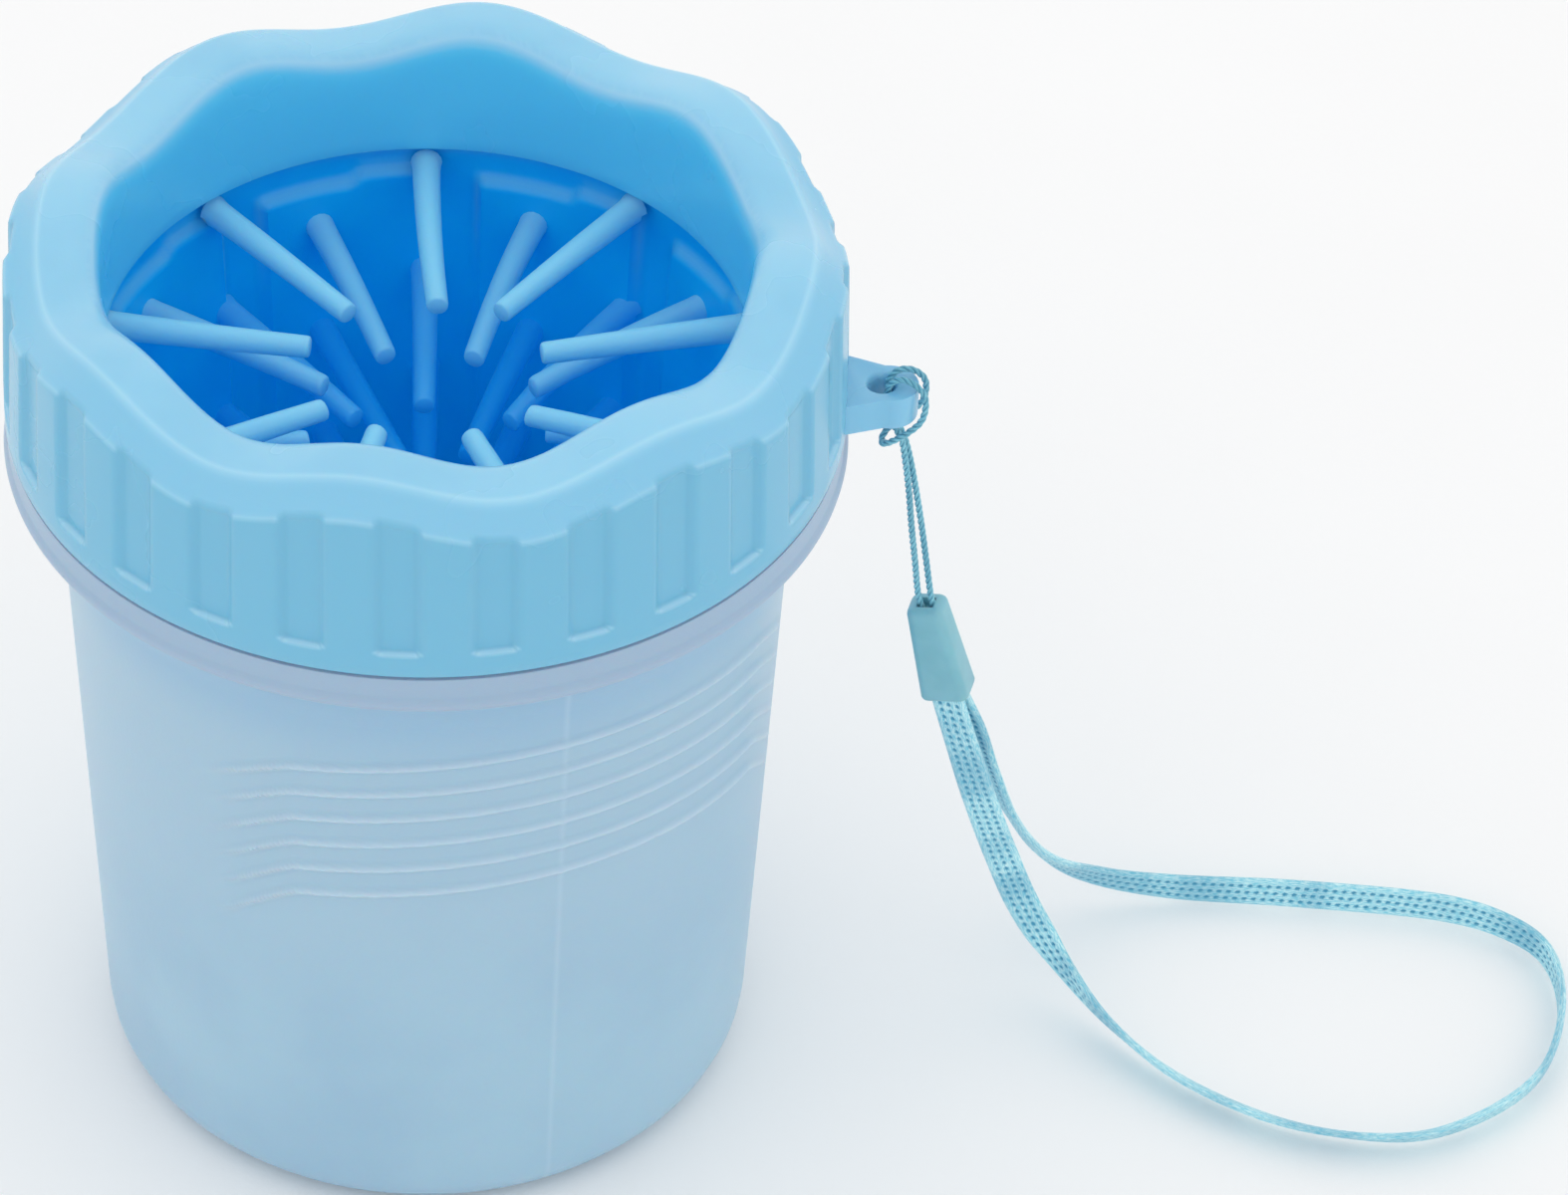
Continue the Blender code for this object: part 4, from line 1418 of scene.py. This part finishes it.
# The braid: how far apart its gaps are along and across, each row's shift against the last as
# a share of the pitch, and a gap's length, width and depth.
GAP_PITCH = 1.15
GAP_ROW_STEP = 0.98
GAP_SHIFT = 0.28
GAP_SIZE = (0.34, 0.26)
GAP_DEPTH = 0.2
# How much lower a face lies along a row of gaps than between two rows.
LANE_DEPTH = 0.08
# The strap's two faces lie side by side in the UV map, this far apart.
FACES_APART = 10
STRAP_COLUMNS = 19
STRAP_LEAST_HALF = 0.05


def weave_gap(along, across):
    """How deep a place lies in the gaps between stitches: three rows of them, side by side."""
    depth = np.zeros(np.broadcast(along, across).shape)
    for row in (-1, 0, 1):
        offset = (along / GAP_PITCH - GAP_SHIFT * row) % 1.0 - 0.5
        lengthwise = bell(offset * GAP_PITCH, GAP_SIZE[0])
        depth = np.maximum(depth, lengthwise * bell(across - row * GAP_ROW_STEP, GAP_SIZE[1]))
    return depth


def make_strap():
    """A flat braid swept along its route: two faces with real dimples between the stitches."""
    rows = [(*place, *width) for place, width in STRAP_ROUTE]
    route, along = even_steps(smooth_route(rows, samples=24), step=0.28)
    middle = route[:, :3]
    heading = unit(np.gradient(middle, axis=0))
    width = route[:, 3:]
    width = unit(width - heading * (width * heading).sum(1)[:, None])
    normal = np.cross(heading, width)
    half = STRAP_WIDTH / 2
    # One face's columns, closer together towards the rounded edges, then the other's.
    across = half * np.sin(np.linspace(-1, 1, STRAP_COLUMNS) * math.pi / 2 * 0.97)
    across = np.concatenate([across, across[::-1]])
    face = np.repeat([1.0, -1.0], STRAP_COLUMNS)
    edge = np.clip(1 - (np.abs(across) / half) ** 5, 0.02, 1) ** 0.5
    gaps = weave_gap(along[:, None], across[None, :] * face[None, :])
    lanes = np.clip(LANE_DEPTH * np.cos(2 * np.pi * across / GAP_ROW_STEP), 0, None)
    depth = (STRAP_THICKNESS / 2 - 0.04) * edge[None, :] - GAP_DEPTH * gaps - lanes
    depth = np.clip(depth, STRAP_LEAST_HALF, None)
    places = (
        middle[:, None, :]
        + width[:, None, :] * across[None, :, None]
        + normal[:, None, :] * (face[None, :] * depth)[:, :, None]
    )
    sides = len(across)
    uvs = np.stack(
        [
            np.repeat(along, sides),
            np.tile(across * face + FACES_APART * (face < 0), len(along)),
        ],
        axis=1,
    )
    # The dimples' depth is also the mark for their painted shade.
    strap = mesh_piece(
        "wrist_strap_woven",
        places.reshape(-1, 3),
        tube_faces(len(along), sides),
        uvs,
        gaps.ravel(),
    )
    return strap, middle, along[-1]


# ---------------------------------------------------------------- studio


FLOOR_SIZE = 6.0
# Just under the cup's foot, so that the two faces stay apart.
FLOOR_HEIGHT = -0.0002
LIT_PLACE = Vector((0.02, 0, 0.07))
# Each light's name, place, width in metres and power in watts.
SOFTBOXES = (
    ("key_softbox", (-0.3, -0.75, 1.15), 0.5, 5.6),
    ("fill_softbox", (0.9, -0.5, 0.8), 0.9, 1.6),
    ("top_softbox", (0.0, -0.1, 1.5), 0.8, 7.5),
    ("back_softbox", (-0.75, 0.6, 0.75), 0.4, 4.0),
)


def set_studio():
    world = bpy.data.worlds.new("studio_world")
    bpy.context.scene.world = world
    world.use_nodes = True
    background = world.node_tree.nodes["Background"]
    background.inputs["Color"].default_value = (1.0, 1.0, 1.0, 1.0)
    background.inputs["Strength"].default_value = 1.0
    bpy.context.scene.view_settings.view_transform = "Standard"
    bpy.ops.object.select_all(action="DESELECT")
    bpy.ops.mesh.primitive_plane_add(size=FLOOR_SIZE, location=(0, 0, FLOOR_HEIGHT))
    floor = bpy.context.object
    floor.name = "studio_floor"
    floor.data.materials.append(paper_finish())
    for name, place, size, power in SOFTBOXES:
        data = bpy.data.lights.new(name, "AREA")
        data.shape = "DISK"
        data.size = size
        data.energy = power
        light = bpy.data.objects.new(name, data)
        light.location = Vector(place)
        aim = LIT_PLACE - light.location
        light.rotation_euler = aim.to_track_quat("-Z", "Y").to_euler()
        bpy.context.scene.collection.objects.link(light)


# ---------------------------------------------------------------- all together


def build_lanyard():
    cord, cord_path, cord_length = make_cord()
    strap, strap_path, strap_length = make_strap()
    bead = make_bead()
    # The third colour of each yarn is its painted shade, in the gaps and where the lustre turns
    # away.
    cord_finish = yarn_finish("twisted_polyester_cord", "#54AECC", "#A2E6F2", "#2F86A6", 0.08)
    hand_over(cord, cord_finish, "lid", "cord_twist", "loop_cord")
    strap_finish = yarn_finish("braided_polyester_strap", "#78D0E6", "#D2F8FC", "#3496BC", 0.12)
    hand_over(strap, strap_finish, "lid", "strap_weave", "wrist_strap")
    hand_over(bead, bead_finish(), "lid", "bead_plastic", "cord_bead")
    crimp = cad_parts["strap_crimp"]
    crimp.data.materials.clear()
    crimp.data.materials.append(steel_finish())


def build_lid():
    lid = make_lid()
    ridge = thread_ridge("lid_thread", root=45.3, crest=43.5, start=95.9)
    lid = joined("lid_ring_moulding", [lid, make_eyelet(), ridge])
    hand_over(lid, lid_finish(), "lid", "lid_plastic", "lid_ring")


def build_cup():
    cup = make_cup()
    ridge = thread_ridge("cup_thread", root=42.7, crest=44.2, start=93.4)
    cup = joined("cup_shell", [cup, ridge])
    hand_over(cup, cup_finish(), "cup", "cup_frosted", "cup_body")


def build_brush():
    sleeve = joined("brush_sleeve_moulding", [make_sleeve_wall(), make_bristles()])
    hand_over(sleeve, silicone_finish(), "brush", "brush_silicone", "brush_sleeve")


set_camera()
build_lanyard()
build_cup()
build_lid()
build_brush()
set_studio()
